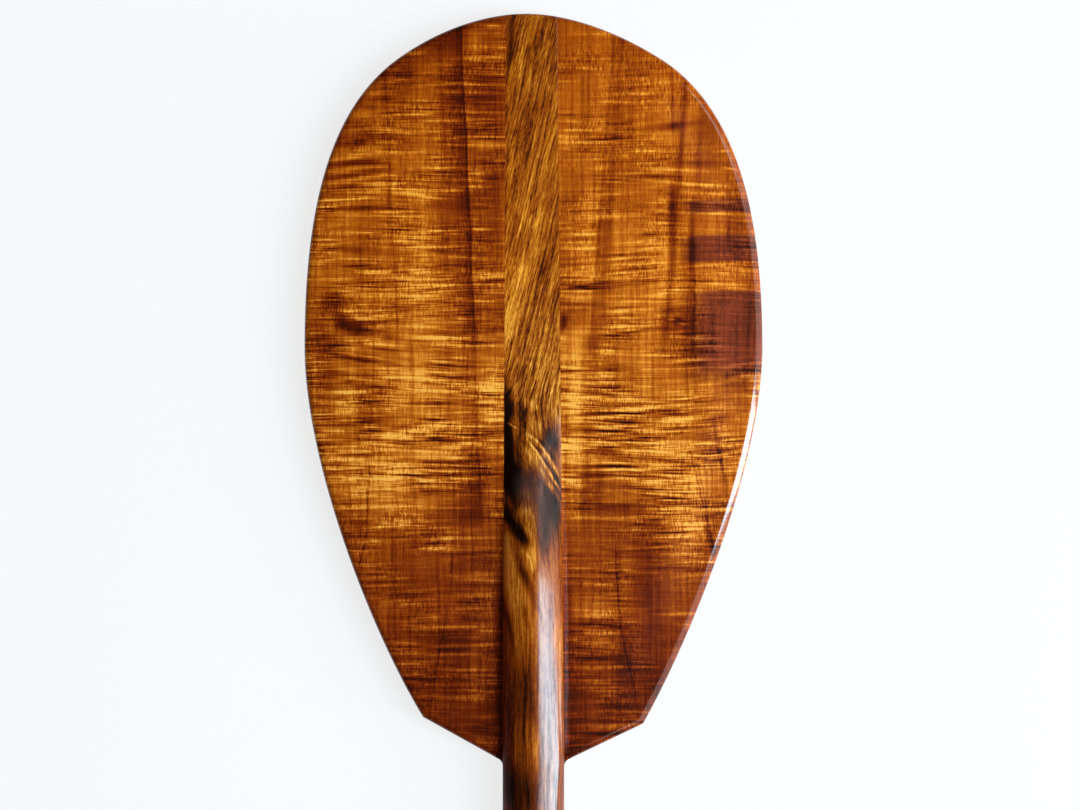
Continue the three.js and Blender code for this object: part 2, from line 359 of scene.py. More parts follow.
def inset(outline, distance):
    """A closed outline moved inwards by one distance all round, without folds at its sharp corners."""
    count = len(outline)
    moved, sharp = [], []
    for i, corner in enumerate(outline):
        before = (corner - outline[i - 1]).normalized()
        after = (outline[(i + 1) % count] - corner).normalized()
        inwards = Vector((-before.y - after.y, before.x + after.x))
        moved.append(corner + inwards * (distance / (1 + before.dot(after))))
        if before.dot(after) < CORNER_TURN and before.cross(after) > 0:
            sharp.append(i)
    for i in sharp:
        bisector = moved[i] - outline[i]

        def crossed(k):
            return bisector.cross(moved[k] - outline[i]) * bisector.cross(outline[k] - outline[i]) < 0

        for step in (-1, 1):
            k = (i + step) % count
            while crossed(k):
                moved[k] = moved[i]
                k = (k + step) % count
    return moved


# The shaft's ridge, and the hollow beside it

def strip_edges(station):
    """Where the strip's left and right edges lie, to the right of the axis."""
    return -strip_half_width(LEFT, station), strip_half_width(RIGHT, station)


def share_across(station, x):
    """How far across the strip a place lies, from -1 at its left edge to 1 at its right one."""
    left, right = strip_edges(station)
    return np.clip((x - left) / (right - left) * 2 - 1, -1, 1)


def ridge_rise(ridge, station, x):
    """Height of the ridge over the blade's face at a distance to the right of the axis."""
    full, sunk = ridge
    grown = eased((sunk - (BLADE_LENGTH - station)) / (sunk - full))
    across = share_across(station, x)
    upright = np.sqrt(1 - across ** 2)
    return (SHAFT_HALF_DEPTH - HALF_THICKNESS) * grown * np.where(upright > 0, upright, 0) ** (2 - grown)


def hollowed_rise(ridge, station, radius):
    """Distances right of the axis, and the height over the face once a ball has rounded its hollows."""
    x = np.arange(-PROFILE_REACH, PROFILE_REACH + PROFILE_STEP / 2, PROFILE_STEP)
    raw = ridge_rise(ridge, station, x)
    reach = int(radius / PROFILE_STEP)
    offsets = np.arange(-reach, reach + 1)
    ball = np.sqrt(np.maximum(radius ** 2 - (offsets * PROFILE_STEP) ** 2, 0))
    padded = np.pad(raw, reach, mode="edge")
    over = np.max([padded[reach + o:reach + o + len(x)] + b for o, b in zip(offsets, ball)], axis=0)
    padded = np.pad(over, reach, mode="edge")
    under = np.min([padded[reach + o:reach + o + len(x)] - b for o, b in zip(offsets, ball)], axis=0)
    return x, np.maximum(under, raw)


# Meshes

def piece_from(mesh, name, material):
    """Adds an object for a finished mesh, shaded smooth except at its creases."""
    mesh.shade_smooth()
    mesh.set_sharp_from_angle(angle=math.radians(CREASE_ANGLE))
    mesh.materials.append(material)
    piece = bpy.data.objects.new(name, mesh)
    bpy.context.scene.collection.objects.link(piece)
    return piece


def loft(name, rings):
    """The closed mesh through a run of rings with as many points each, without their doubles."""
    bm = bmesh.new()
    made = [[bm.verts.new(p) for p in ring] for ring in rings]
    for near, far in zip(made, made[1:]):
        for i in range(len(near)):
            j = (i + 1) % len(near)
            bm.faces.new((near[i], near[j], far[j], far[i]))
    bm.faces.new(made[0][::-1])
    bm.faces.new(made[-1])
    bmesh.ops.remove_doubles(bm, verts=bm.verts, dist=1e-6)
    bmesh.ops.dissolve_degenerate(bm, edges=bm.edges, dist=1e-7)
    bmesh.ops.recalc_face_normals(bm, faces=bm.faces)
    mesh = bpy.data.meshes.new(name)
    bm.to_mesh(mesh)
    bm.free()
    return mesh


def joint_frame(side, station, out):
    """Where a side's glue joint is at a station, its direction away from the strip and its lean."""
    lean = math.atan2(SHAFT_HALF_WIDTH - side["strip_at_tip"], BLADE_LENGTH)
    spot = at(side["sign"] * (strip_half_width(side, station) + out), station)
    turn = Matrix.Rotation(side["sign"] * lean, 4, "Z")
    return spot, turn


def cut_groove(piece, side):
    """Cuts the stopped groove of a joint tongue, with its play."""
    start, end = TONGUE_STATIONS
    spot, turn = joint_frame(side, (start + end) / 2, TONGUE_MIDDLE_OUT)
    size = (TONGUE_WIDTH, end - start, TONGUE_THICKNESS)
    half = [(s / 2 + TONGUE_PLAY) * MM for s in size]
    bm = bmesh.new()
    bmesh.ops.create_cube(bm, size=2)
    placed = Matrix.Translation(spot) @ turn @ Matrix.Diagonal((*half, 1))
    bmesh.ops.transform(bm, matrix=placed, verts=bm.verts)
    mesh = bpy.data.meshes.new("groove")
    bm.to_mesh(mesh)
    bm.free()
    cutter = bpy.data.objects.new("groove", mesh)
    bpy.context.scene.collection.objects.link(cutter)
    modifier = piece.modifiers.new("groove", "BOOLEAN")
    modifier.operation = "DIFFERENCE"
    modifier.solver = "EXACT"
    modifier.object = cutter
    depsgraph = bpy.context.evaluated_depsgraph_get()
    cut = bpy.data.meshes.new_from_object(piece.evaluated_get(depsgraph))
    piece.modifiers.clear()
    old = piece.data
    cut.name = old.name
    piece.data = cut
    bpy.data.meshes.remove(old)
    bpy.data.objects.remove(cutter)
    bpy.data.meshes.remove(mesh)


def wing_blank(side, shape):
    """The board before it is cut to the joint: it runs on past the strip and past the root."""
    other = RIGHT if side is LEFT else LEFT
    beyond = [Vector((-p.x, p.y)) for p in crown_points(other)[1:]][::-1]
    end = BLADE_LENGTH + BLADE_WIDTH / 2
    past_root = [Vector((SHAFT_HALF_WIDTH, end)), Vector((-BLADE_WIDTH / 2, end))]
    outline = beyond + crown_points(side) + flank_points(side) + past_root
    rows = rim_profile(shape.nose_width / MM)
    rings = []
    for distance, half in rows[::-1]:
        rings.append([at(side["sign"] * p.x, p.y, -half) for p in inset(outline, distance)])
    for distance, half in rows[1:]:
        rings.append([at(side["sign"] * p.x, p.y, half) for p in inset(outline, distance)])
    return rings


def slice_faces(bm, spot, normal, wanted):
    """Cuts the wanted faces along a plane."""
    faces = [f for f in bm.faces if wanted(f)]
    corners = {v for f in faces for v in f.verts}
    edges = {e for f in faces for e in f.edges}
    geometry = [*corners, *edges, *faces]
    bmesh.ops.bisect_plane(bm, geom=geometry, dist=1e-7, plane_co=spot, plane_no=normal)


def slice_flats(bm, side, shape):
    """Cuts the flat faces into a coarse grid, and finely beside the joint for the hollow's shape."""
    reach = shape.hollow_radius / MM + HOLLOW_MARGIN
    spot, turn = joint_frame(side, BLADE_LENGTH / 2, 0)
    outwards = turn @ Vector((side["sign"], 0, 0))
    along = turn @ Vector((0, 1, 0))

    def level(face):
        return abs(face.normal.z) > FACING_UP

    def flat(face):
        return face.calc_area() > FLAT_FACE_AREA * MM * MM and level(face)

    def beside(face):
        return level(face) and all((v.co - spot).dot(outwards) < (reach + 0.01) * MM for v in face.verts)

    shares = [i / CUTS_BESIDE_JOINT for i in range(1, CUTS_BESIDE_JOINT + 1)]
    closer = [reach * share ** CLOSER_AT_JOINT for share in shares]
    for out in (*closer, *range(*GRID_OUT, GRID)):
        slice_faces(bm, spot + outwards * out * MM, outwards, lambda f: out <= reach or flat(f))
    for station in range(GRID, BLADE_LENGTH, GRID):
        slice_faces(bm, joint_frame(side, station, 0)[0], along, flat)
    start = BLADE_LENGTH - BACK_RIDGE[1] - START_BEFORE_RIDGE
    for station in np.arange(start, BLADE_LENGTH, STEP_BESIDE_JOINT):
        slice_faces(bm, joint_frame(side, station, 0)[0], along, beside)


def raise_hollow(bm, side, shape):
    """Lifts the faces beside the joint into the hollow that runs up to the shaft."""
    radius = shape.hollow_radius / MM
    rises = {}
    for vert in bm.verts:
        x, station, height = vert.co.x / MM, TIP_Y - vert.co.y / MM, vert.co.z / MM - AXIS_Z
        out = abs(x) - strip_half_width(side, station)
        if out > radius + HOLLOW_MARGIN + 0.1 or station > BLADE_LENGTH or abs(height) < RIM_HALF_THICKNESS:
            continue
        ridge = FRONT_RIDGE if height > 0 else BACK_RIDGE
        key = (ridge, round(station, 1))
        if key not in rises:
            rises[key] = hollowed_rise(ridge, station, radius)
        lift = float(np.interp(x, *rises[key])) * eased((BLADE_LENGTH - station) / HOLLOW_FADE)
        vert.co.z += math.copysign(lift, height) * MM


def make_wing(side, shape, material):
    """One curly board of the blade, cut to its glue joint and grooved for its tongue."""
    mesh = loft(side["name"] + "_wing", wing_blank(side, shape))
    bm = bmesh.new()
    bm.from_mesh(mesh)
    spot, turn = joint_frame(side, BLADE_LENGTH / 2, shape.joint_gap / MM)
    outwards = turn @ Vector((side["sign"], 0, 0))
    bmesh.ops.bisect_plane(
        bm,
        geom=bm.verts[:] + bm.edges[:] + bm.faces[:],
        dist=1e-7,
        plane_co=spot,
        plane_no=outwards,
        clear_inner=True,
    )
    slice_flats(bm, side, shape)
    open_edges = [e for e in bm.edges if e.is_boundary]
    bmesh.ops.holes_fill(bm, edges=open_edges, sides=0)
    raise_hollow(bm, side, shape)
    bmesh.ops.recalc_face_normals(bm, faces=bm.faces)
    bm.to_mesh(mesh)
    bm.free()
    piece = piece_from(mesh, "curly_wing_" + side["name"], material)
    cut_groove(piece, side)
    return piece


def crown_station(x):
    """The station of the blade's edge at the strip's end, at a distance to the right of the axis."""
    side = LEFT if x < APEX_OFFSET else RIGHT
    points = interpolate_bezier(*[h.to_3d() for h in crown_handles(side)], CURVE_SAMPLES // 2)
    return float(np.interp(x * side["sign"], [p.x for p in points], [p.y for p in points]))


def stick_section(station, half_edge, radius, station_at=None):
    """A section of the stick: a ridge over each face, and flat sides where the wings are glued on."""
    spread = np.sin((np.arange(STICK_COLUMNS + 1) / STICK_COLUMNS - 0.5) * math.pi)
    x = mixed(*strip_edges(station), (1 + spread) / 2)
    rises = []
    for ridge in (FRONT_RIDGE, BACK_RIDGE):
        if station < BLADE_LENGTH:
            rise = np.interp(x, *hollowed_rise(ridge, station, radius))
        else:
            rise = (SHAFT_HALF_DEPTH - half_edge) * np.sqrt(1 - share_across(station, x) ** 2)
        rises.append(rise)
    stations = [station if station_at is None else station_at(v) for v in x]
    front = [at(v, s, half_edge + r) for v, s, r in zip(x, stations, rises[0])]
    back = [at(v, s, -half_edge - r) for v, s, r in zip(x, stations, rises[1])]
    return front + back[::-1]


def directions_round():
    """Directions round a section, as many as the stick's has points: across the front, and back behind."""
    across = [(i / STICK_COLUMNS - 0.5) * math.pi for i in range(STICK_COLUMNS + 1)]
    front = [(math.sin(angle), math.cos(angle)) for angle in across]
    return front + [(x, -z) for x, z in front[::-1]]


def tenon_section(station, grow=0.0):
    """The tenon's rectangle, with its corners a little eased."""
    half_width, half_depth = TENON_WIDTH / 2 + grow, TENON_THICKNESS / 2 + grow
    power = TENON_SQUARENESS
    ring = []
    for x, z in directions_round():
        scale = 1 / (abs(x) ** power + abs(z) ** power) ** (1 / power)
        ring.append(at(half_width * x * scale, station, half_depth * z * scale))
    return ring


def make_stick(shape, material):
    """The stick, from the strip's end at the blade's tip to the tenon in the grip."""
    radius = shape.hollow_radius / MM
    rings = []
    for distance, half in rim_profile(shape.nose_width / MM):
        rings.append(stick_section(distance, half, radius, lambda x, d=distance: crown_station(x) + d))
    sunk = BLADE_LENGTH - max(FRONT_RIDGE[1], BACK_RIDGE[1])
    for station in np.arange(sunk - 6, BLADE_LENGTH, RIDGE_STEP):
        rings.append(stick_section(station, HALF_THICKNESS, radius))
    round_at = BLADE_LENGTH + ROUNDING_LENGTH
    for share in np.arange(ROUNDING_STEPS + 1) / ROUNDING_STEPS:
        station = mixed(BLADE_LENGTH, round_at, share)
        rings.append(stick_section(station, HALF_THICKNESS * (1 - share), radius))
    for share in np.linspace(0, 1, SHAFT_STEPS + 1)[1:]:
        rings.append(stick_section(mixed(round_at, SHAFT_END, share), 0, radius))
    tenon_end = SHAFT_END + TENON_LENGTH
    for station in (SHAFT_END, tenon_end - 1):
        rings.append(tenon_section(station))
    rings.append(tenon_section(tenon_end, -TENON_END_EASE))
    piece = piece_from(loft("stick", rings), "shaft_stick", material)
    for side in (LEFT, RIGHT):
        cut_groove(piece, side)
    return piece


def grip_sections():
    """Half width, distance from the shaft's end, half depth and squareness of each section of the grip."""
    half_width = GRIP_HIGH.x / MM
    half_depth = (GRIP_HIGH.z - GRIP_LOW.z) / 2 / MM
    height = GRIP_TOP - SHAFT_END
    profile = even_curve((
        Vector((SHAFT_HALF_WIDTH, 0.05)),
        Vector((SHAFT_HALF_WIDTH, GRIP_NECK_REACH)),
        Vector((half_width, GRIP_WIDEST - GRIP_ARM_REACH)),
        Vector((half_width, GRIP_WIDEST)),
    ), GRIP_NECK_STEPS)
    rows = []
    for i, p in enumerate(profile):
        share = i / GRIP_NECK_STEPS
        straight = mixed(SHAFT_HALF_DEPTH, half_depth, share)
        waist = (min(SHAFT_HALF_DEPTH, half_depth) - GRIP_WAIST_DEPTH / 2) * math.sin(math.pi * share)
        rows.append((p.x, p.y, straight - waist, mixed(2, GRIP_SQUARENESS, eased(share))))
    for i in range(1, GRIP_CROWN_STEPS + 1):
        angle = i / GRIP_CROWN_STEPS * math.pi / 2
        shrink = max(math.cos(angle), 0) ** 0.8
        along = GRIP_WIDEST + (height - GRIP_WIDEST) * math.sin(angle) ** 0.9
        rows.append((half_width * shrink, along, half_depth * shrink, GRIP_SQUARENESS))
    return rows


def grip_ring(half_width, station, half_depth, squareness):
    """A section of the grip: an ellipse that is squarer the higher its squareness is over 2."""
    power = 2 / squareness
    ring = []
    for x, z in directions_round():
        x = math.copysign(abs(x) ** power, x)
        z = math.copysign(abs(z) ** power, z)
        ring.append(at(half_width * x, station, half_depth * z))
    return ring


def make_grip(material):
    """The palm grip, with the mortise for the shaft's tenon inside it."""
    depth = SHAFT_END + TENON_LENGTH + MORTISE_END_ROOM
    rings = [tenon_section(depth, MORTISE_PLAY), tenon_section(SHAFT_END + 0.05, MORTISE_PLAY)]
    for half_width, along, half_depth, squareness in grip_sections():
        rings.append(grip_ring(half_width, SHAFT_END + along, half_depth, squareness))
    return piece_from(loft("grip", rings), "turned_palm_grip", material)


# Shader nodes

class Signal:
    """One output of a node. Python's operators on it add Math nodes."""

    def __init__(self, bench, socket):
        self.bench = bench
        self.socket = socket

    def maths(self, operation, *values):
        return self.bench.add("ShaderNodeMath", {"operation": operation}, dict(enumerate(values)))

    def __add__(self, other):
        return self.maths("ADD", self, other)

    __radd__ = __add__

    def __sub__(self, other):
        return self.maths("SUBTRACT", self, other)

    def __rsub__(self, other):
        return self.maths("SUBTRACT", other, self)

    def __mul__(self, other):
        return self.maths("MULTIPLY", self, other)

    __rmul__ = __mul__

    def times_plus(self, factor, addend):
        return self.maths("MULTIPLY_ADD", self, factor, addend)

    def at_least(self, floor):
        return self.maths("MAXIMUM", self, floor)

    def at_most(self, ceiling):
        return self.maths("MINIMUM", self, ceiling)


class Bench:
    """Builds the nodes of one material, world or lamp."""

    def __init__(self, owner):
        owner.use_nodes = True
        self.tree = owner.node_tree
        self.tree.nodes.clear()

    def add(self, kind, settings=None, sockets=None, output=0):
        """Adds a node, sets its settings first, then the values or links of its sockets.

        The result is one of its outputs, or the node itself where it has none.
        """
        node = self.tree.nodes.new(kind)
        for name, value in (settings or {}).items():
            if name == "stops":
                self._set_stops(node.color_ramp, value)
            else:
                setattr(node, name, value)
        for key, value in (sockets or {}).items():
            if isinstance(value, Signal):
                self.tree.links.new(value.socket, node.inputs[key])
            else:
                node.inputs[key].default_value = value
        return Signal(self, node.outputs[output]) if node.outputs else node

    def _set_stops(self, ramp, stops):
        while len(ramp.elements) > 1:
            ramp.elements.remove(ramp.elements[-1])
        for i, (position, colour) in enumerate(stops):
            element = ramp.elements[0] if i == 0 else ramp.elements.new(position)
            element.position = position
            element.color = (*colour, 1)

    def vector(self, operation, *values):
        """Vector maths on links, or on tuples of three numbers."""
        return self.add("ShaderNodeVectorMath", {"operation": operation}, dict(enumerate(values)))

    def ramp(self, value, stops):
        """The colour that a run of stops gives for a value from 0 to 1."""
        return self.add("ShaderNodeValToRGB", {"stops": stops}, {0: value})

    def share(self, value, low, high):
        """How far a value has come from the low to the high end, from 0 to 1."""
        return self.add("ShaderNodeMapRange", {}, {"Value": value, "From Min": low, "From Max": high})

    def outputs(self, kind, *names):
        """Some of the outputs of one node, by name."""
        node = self.add(kind, {}, {}, names[0]).socket.node
        return [Signal(self, node.outputs[name]) for name in names]

    def split(self, vector):
        """The three parts of a vector."""
        first = self.add("ShaderNodeSeparateXYZ", {}, {0: vector})
        node = first.socket.node
        return [Signal(self, node.outputs[i]) for i in range(3)]

    def join(self, x, y, z):
        return self.add("ShaderNodeCombineXYZ", {}, {0: x, 1: y, 2: z})

    def noise(self, place, sizes, seed=0.0, detail=1.0, roughness=0.5, output=0):
        """Noise whose waves are about as long as the sizes in millimetres, with a mean of 0.5."""
        stretch = [1 / s for s in sizes]
        shift = [seed * 7.31 + 11.7, seed * 3.17 + 5.3, seed * 5.71 + 2.9]
        scaled = self.vector("MULTIPLY_ADD", place, stretch, shift)
        return self.add(
            "ShaderNodeTexNoise",
            {"noise_dimensions": "3D"},
            {"Vector": scaled, "Scale": 1.0, "Detail": detail, "Roughness": roughness},
            output,
        )

    def step(self, value, low, high):
        """A smooth step from 0 at the low end to 1 at the high end."""
        return self.add(
            "ShaderNodeMapRange",
            {"interpolation_type": "SMOOTHSTEP"},
            {"Value": value, "From Min": low, "From Max": high},
        )

    def profile(self, value, points):
        """A number that follows a run of points along another one."""
        low, high = points[0][0], points[-1][0]
        top = max(number for place, number in points)
        stops = [((place - low) / (high - low), (number / top,) * 3) for place, number in points]
        return self.ramp(self.share(value, low, high), stops) * top

    def tints(self, value, points):
        """A colour that follows a run of colours along a value."""
        low, high = points[0][0], points[-1][0]
        stops = [((place - low) / (high - low), colour) for place, colour in points]
        return self.ramp(self.share(value, low, high), stops)

    def marks(self, place, rows, spread, soft, start=0.0):
        """The sum of long marks on top of a start. Spread says where their ends and sides have faded out."""
        longer, wider = spread
        total = start
        for x, station, length, width, tilt, strength in rows:
            local = self.add(
                "ShaderNodeMapping",
                {"vector_type": "TEXTURE"},
                {
                    "Vector": place,
                    "Location": (x, station, 0),
                    "Rotation": (0, 0, -math.radians(tilt)),
                    "Scale": (length * longer, width * wider, MARK_DEPTH),
                },
            )
            near = self.add("ShaderNodeTexGradient", {"gradient_type": "SPHERICAL"}, {0: local}, "Fac")
            if soft:
                near = self.step(near, 0, SOFT_MARK_FULL)
            total = near.times_plus(strength, total)
        return total

    def blend_colours(self, factor, first, second, mode="MIX"):
        """Two colours mixed, or multiplied where the mode says so."""
        settings = {"data_type": "RGBA", "blend_type": mode}
        return self.add("ShaderNodeMix", settings, {0: factor, 6: first, 7: second}, 2)

    def place(self):
        """The surface's own place in millimetres: right of the axis, station, height over the axis."""
        own = self.add("ShaderNodeTexCoord", {}, {}, "Object")
        return self.vector("MULTIPLY_ADD", own, (1 / MM, -1 / MM, 1 / MM), (0, TIP_Y, -AXIS_Z))

    def moved(self, place, sizes, amounts, seed, detail=1.0):
        """A place that wanders from itself by up to about half of the amounts, over waves of the sizes."""
        drift = self.noise(place, sizes, seed, detail, output="Color")
        centred = self.vector("SUBTRACT", drift, (0.5, 0.5, 0.5))
        return self.vector("MULTIPLY_ADD", centred, amounts, place)


# Colours of the wood against its tone, as light falls on it: dark heart, red brown, amber, gold
CURLY_COLOURS = (
    (0.0, (0.003, 0.0006, 0.0001)),
    (0.07, (0.0125, 0.0022, 0.0003)),
    (0.16, (0.053, 0.0062, 0.0006)),
    (0.23, (0.122, 0.013, 0.0009)),
    (0.30, (0.205, 0.029, 0.0018)),
    (0.37, (0.277, 0.05, 0.0034)),
    (0.46, (0.392, 0.087, 0.0055)),
    (0.56, (0.52, 0.14, 0.0125)),
    (0.68, (0.714, 0.247, 0.036)),
    (0.82, (0.87, 0.365, 0.07)),
    (1.0, (0.96, 0.5, 0.13)),
)
STICK_COLOURS = (
    (0.0, (0.002, 0.0006, 0.0001)),
    (0.07, (0.01, 0.0026, 0.0006)),
    (0.155, (0.04, 0.0075, 0.0011)),
    (0.22, (0.09, 0.0165, 0.0012)),
    (0.29, (0.169, 0.032, 0.0014)),
    (0.345, (0.223, 0.048, 0.0021)),
    (0.395, (0.277, 0.067, 0.0034)),
    (0.455, (0.342, 0.094, 0.0063)),
    (0.53, (0.425, 0.134, 0.0117)),
    (0.61, (0.528, 0.193, 0.0232)),
    (0.77, (0.76, 0.33, 0.055)),
    (1.0, (0.96, 0.52, 0.14)),
)
PLANED_COLOURS = (
    (0.0, (0.3, 0.16, 0.06)),
    (0.5, (0.5, 0.29, 0.12)),
    (1.0, (0.64, 0.42, 0.2)),
)

# Where marks have faded out, as shares of their half length and their half width
WING_PATCH_SPREAD = (1.3, 1.3)
WING_LINE_SPREAD = (1.25, 1.4)
STICK_PATCH_SPREAD = (1.45, 1.45)
STICK_LINE_SPREAD = (1.2, 1.4)
CRACK_SPREAD = (1.1, 1.3)
# The spread of the painted sheen over the knot
PAINTED_SHEEN_SPREAD = (1.3, 1.3)
# The share of the way in at which a soft mark is at full strength, and how deep all marks run
SOFT_MARK_FULL = 0.85
MARK_DEPTH = 1e4

# Marks of the wood in millimetres: right of the axis, station, half length, half width,
# tilt in degrees that rises to the right, and how much lighter or darker than what is round it
LEFT_LINES = (
    (-90.8, 52.1, 15.9, 1.83, 6, -0.45), (-100, 57.3, 9.8, 2.14, 4, -0.4),
    (-106.1, 61.6, 9.2, 2.45, 2, 0.3), (-107.3, 67.4, 12.2, 2.75, 3, -0.6),
    (-106.1, 77.2, 17.1, 4.3, 6, -0.5), (-107.3, 83.9, 17.1, 2.75, 5, 0.3),
    (-107.3, 91.5, 22, 2.08, 2, -0.65), (-112.2, 95.2, 14.7, 1.1, 4, 0.4),
    (-106.1, 98.4, 24.5, 1.96, 6, -0.65), (-111, 102.2, 17.1, 1.34, 4, 0.3),
    (-112.2, 105.9, 20.8, 1.59, 3, -0.4), (-104.8, 119, 30.6, 2.08, 4, -0.6),
    (-89, 120.9, 13.4, 0.79, 0, 0.5), (-79.2, 38, 26.9, 2.32, -1, -0.4), (-33.9, 49, 14.7, 0.79, 0, 0.3),
    (-32.1, 60.6, 17.1, 0.86, 0, 0.8), (-33.9, 64.6, 18.3, 0.79, 0, 0.6),
    (-26.6, 54.5, 12.2, 0.67, 0, 0.4), (-29.7, 75.5, 15.9, 0.67, 0, 0.8),
    (-26.6, 76.9, 12.2, 0.61, 0, -0.5), (-30.3, 70.4, 14.7, 1.83, 0, -0.35),
    (-27.8, 88.2, 12.2, 0.67, 0, 0.4), (-29, 93, 13.4, 0.67, 0, 0.35), (-23.5, 100.4, 9.8, 3.1, 0, -0.25),
    (-48.6, 135.7, 9.2, 0.73, -1, 0.8), (-44.3, 149.3, 14.7, 0.73, -2, 0.65),
    (-43.1, 157.2, 7.3, 0.67, 0, 0.5), (-107.9, 145, 19.6, 2.57, -5, -0.38),
    (-103.6, 150.2, 18.3, 0.79, -2, 0.5), (-109.7, 154.8, 13.4, 1.34, -6, -0.42),
    (-101.8, 156.9, 14.7, 0.79, -2, 0.45), (-111, 167.3, 19.6, 0.86, -4, 0.5),
    (-112.2, 172.8, 17.1, 0.92, -1, 0.5), (-87.7, 197.6, 6.7, 1.83, 0, -0.4),
    (-92, 202.5, 13.4, 0.98, -6, 0.45), (-92.6, 205.2, 9.8, 0.92, -5, -0.55),
    (-106.1, 211.5, 23.2, 1.53, -8.3, -0.7), (-59, 215.6, 29.3, 1.1, -1, -0.4),
    (-104.8, 209.2, 17.1, 0.67, -8, 0.45), (-122.6, 218.4, 8.6, 2.45, -6, -0.4),
    (-104.8, 236.1, 22, 1.47, 0, -0.4), (-118.3, 238.9, 15.9, 0.79, -2, 0.45),
    (-116.5, 243.7, 7.3, 0.98, -3, 0.5), (-114, 248.3, 9.2, 0.98, -2, 0.5),
    (-112.2, 250.8, 22, 1.96, 0, -0.4), (-120.7, 254.9, 11, 0.92, -3, 0.55),
    (-85.3, 257.1, 11, 1.59, 2, 0.6), (-64.5, 253.5, 17.1, 2.2, 8, 0.5),
    (-58.4, 237.9, 28.1, 1.04, 0, -0.45), (-35.8, 243.4, 18.3, 0.79, 0, 0.6),
    (-41.9, 248.9, 24.5, 1.1, -2, -0.5), (-28.4, 233, 11, 0.73, 0, -0.5),
    (-28.4, 226.3, 11, 0.73, 0, 0.4), (-27.2, 220.2, 9.8, 0.73, 0, -0.35),
    (-49.8, 260.6, 19.6, 1.83, -2, -0.42), (-45.5, 264.7, 15.9, 1.16, 0, 0.5),
    (-109.7, 267.5, 22, 1.71, 2, 0.6), (-54.1, 267.9, 36.7, 1.1, -1, 0.7),
    (-110.3, 269.7, 18.3, 0.86, 2, -0.5), (-111.6, 272.1, 19.6, 1.34, -1, 0.5),
    (-57.8, 270.7, 24.5, 1.41, -1, 0.4), (-46.8, 273.3, 29.3, 0.86, 1, -0.5),
    (-48, 275.6, 29.3, 0.92, 0, 0.5), (-46.8, 277.7, 28.1, 0.92, 0, -0.4),
    (-43.7, 279.5, 25.7, 0.98, -1, 0.65), (-95.1, 301.3, 28.1, 1.28, 0, 0.75),
    (-50.4, 301.9, 22, 0.79, 0, 0.6), (-81, 305.2, 12.2, 1.96, -2, 0.4),
    (-101.2, 298.5, 26.9, 0.86, 86, -0.5), (-105.5, 332.7, 12.2, 0.79, 76, -0.45),
    (-40.7, 320, 23.2, 0.98, 0, 0.7), (-99.3, 322.5, 14.7, 1.34, -2, 0.35),
    (-41.3, 327.5, 22, 0.67, 0, 0.35), (-41.3, 332.1, 22, 0.67, 0, 0.35),
    (-41.3, 329.9, 20.8, 0.92, 0, -0.3), (-49.8, 340, 22, 0.73, 88, -0.45),
    (-39.4, 345.5, 11, 1.59, 0, 0.4), (-41.3, 355.7, 22, 0.86, 0, 0.35),
    (-41.3, 368.8, 11, 2.45, 0, -0.3), (-44.9, 374.5, 23.2, 0.98, 0, 0.9),
    (-51.7, 386.2, 16.5, 1.16, 1, 0.75), (-52.3, 388.9, 14.7, 1.34, 1, -0.4),
    (-43.1, 391.4, 22.6, 0.98, 1, 0.75), (-37, 401, 17.1, 1.04, 1, 0.65),
    (-41.9, 418.3, 16.5, 1.34, 0, 0.55), (-28.4, 429.6, 7.3, 1.34, 6, 0.4),
    (-29.7, 444.6, 10.4, 1.34, -8, 0.6), (-57.8, 392.6, 36.7, 0.79, 80.5, -0.4),
    (-43.7, 379.8, 24.5, 2.75, 0, -0.2), (-48, 409.1, 20.8, 3.1, 0, -0.2),
    (-30.9, 436, 12.2, 2.45, 3, -0.3), (-48, 365.7, 18.3, 0.73, 0, 0.3),
)
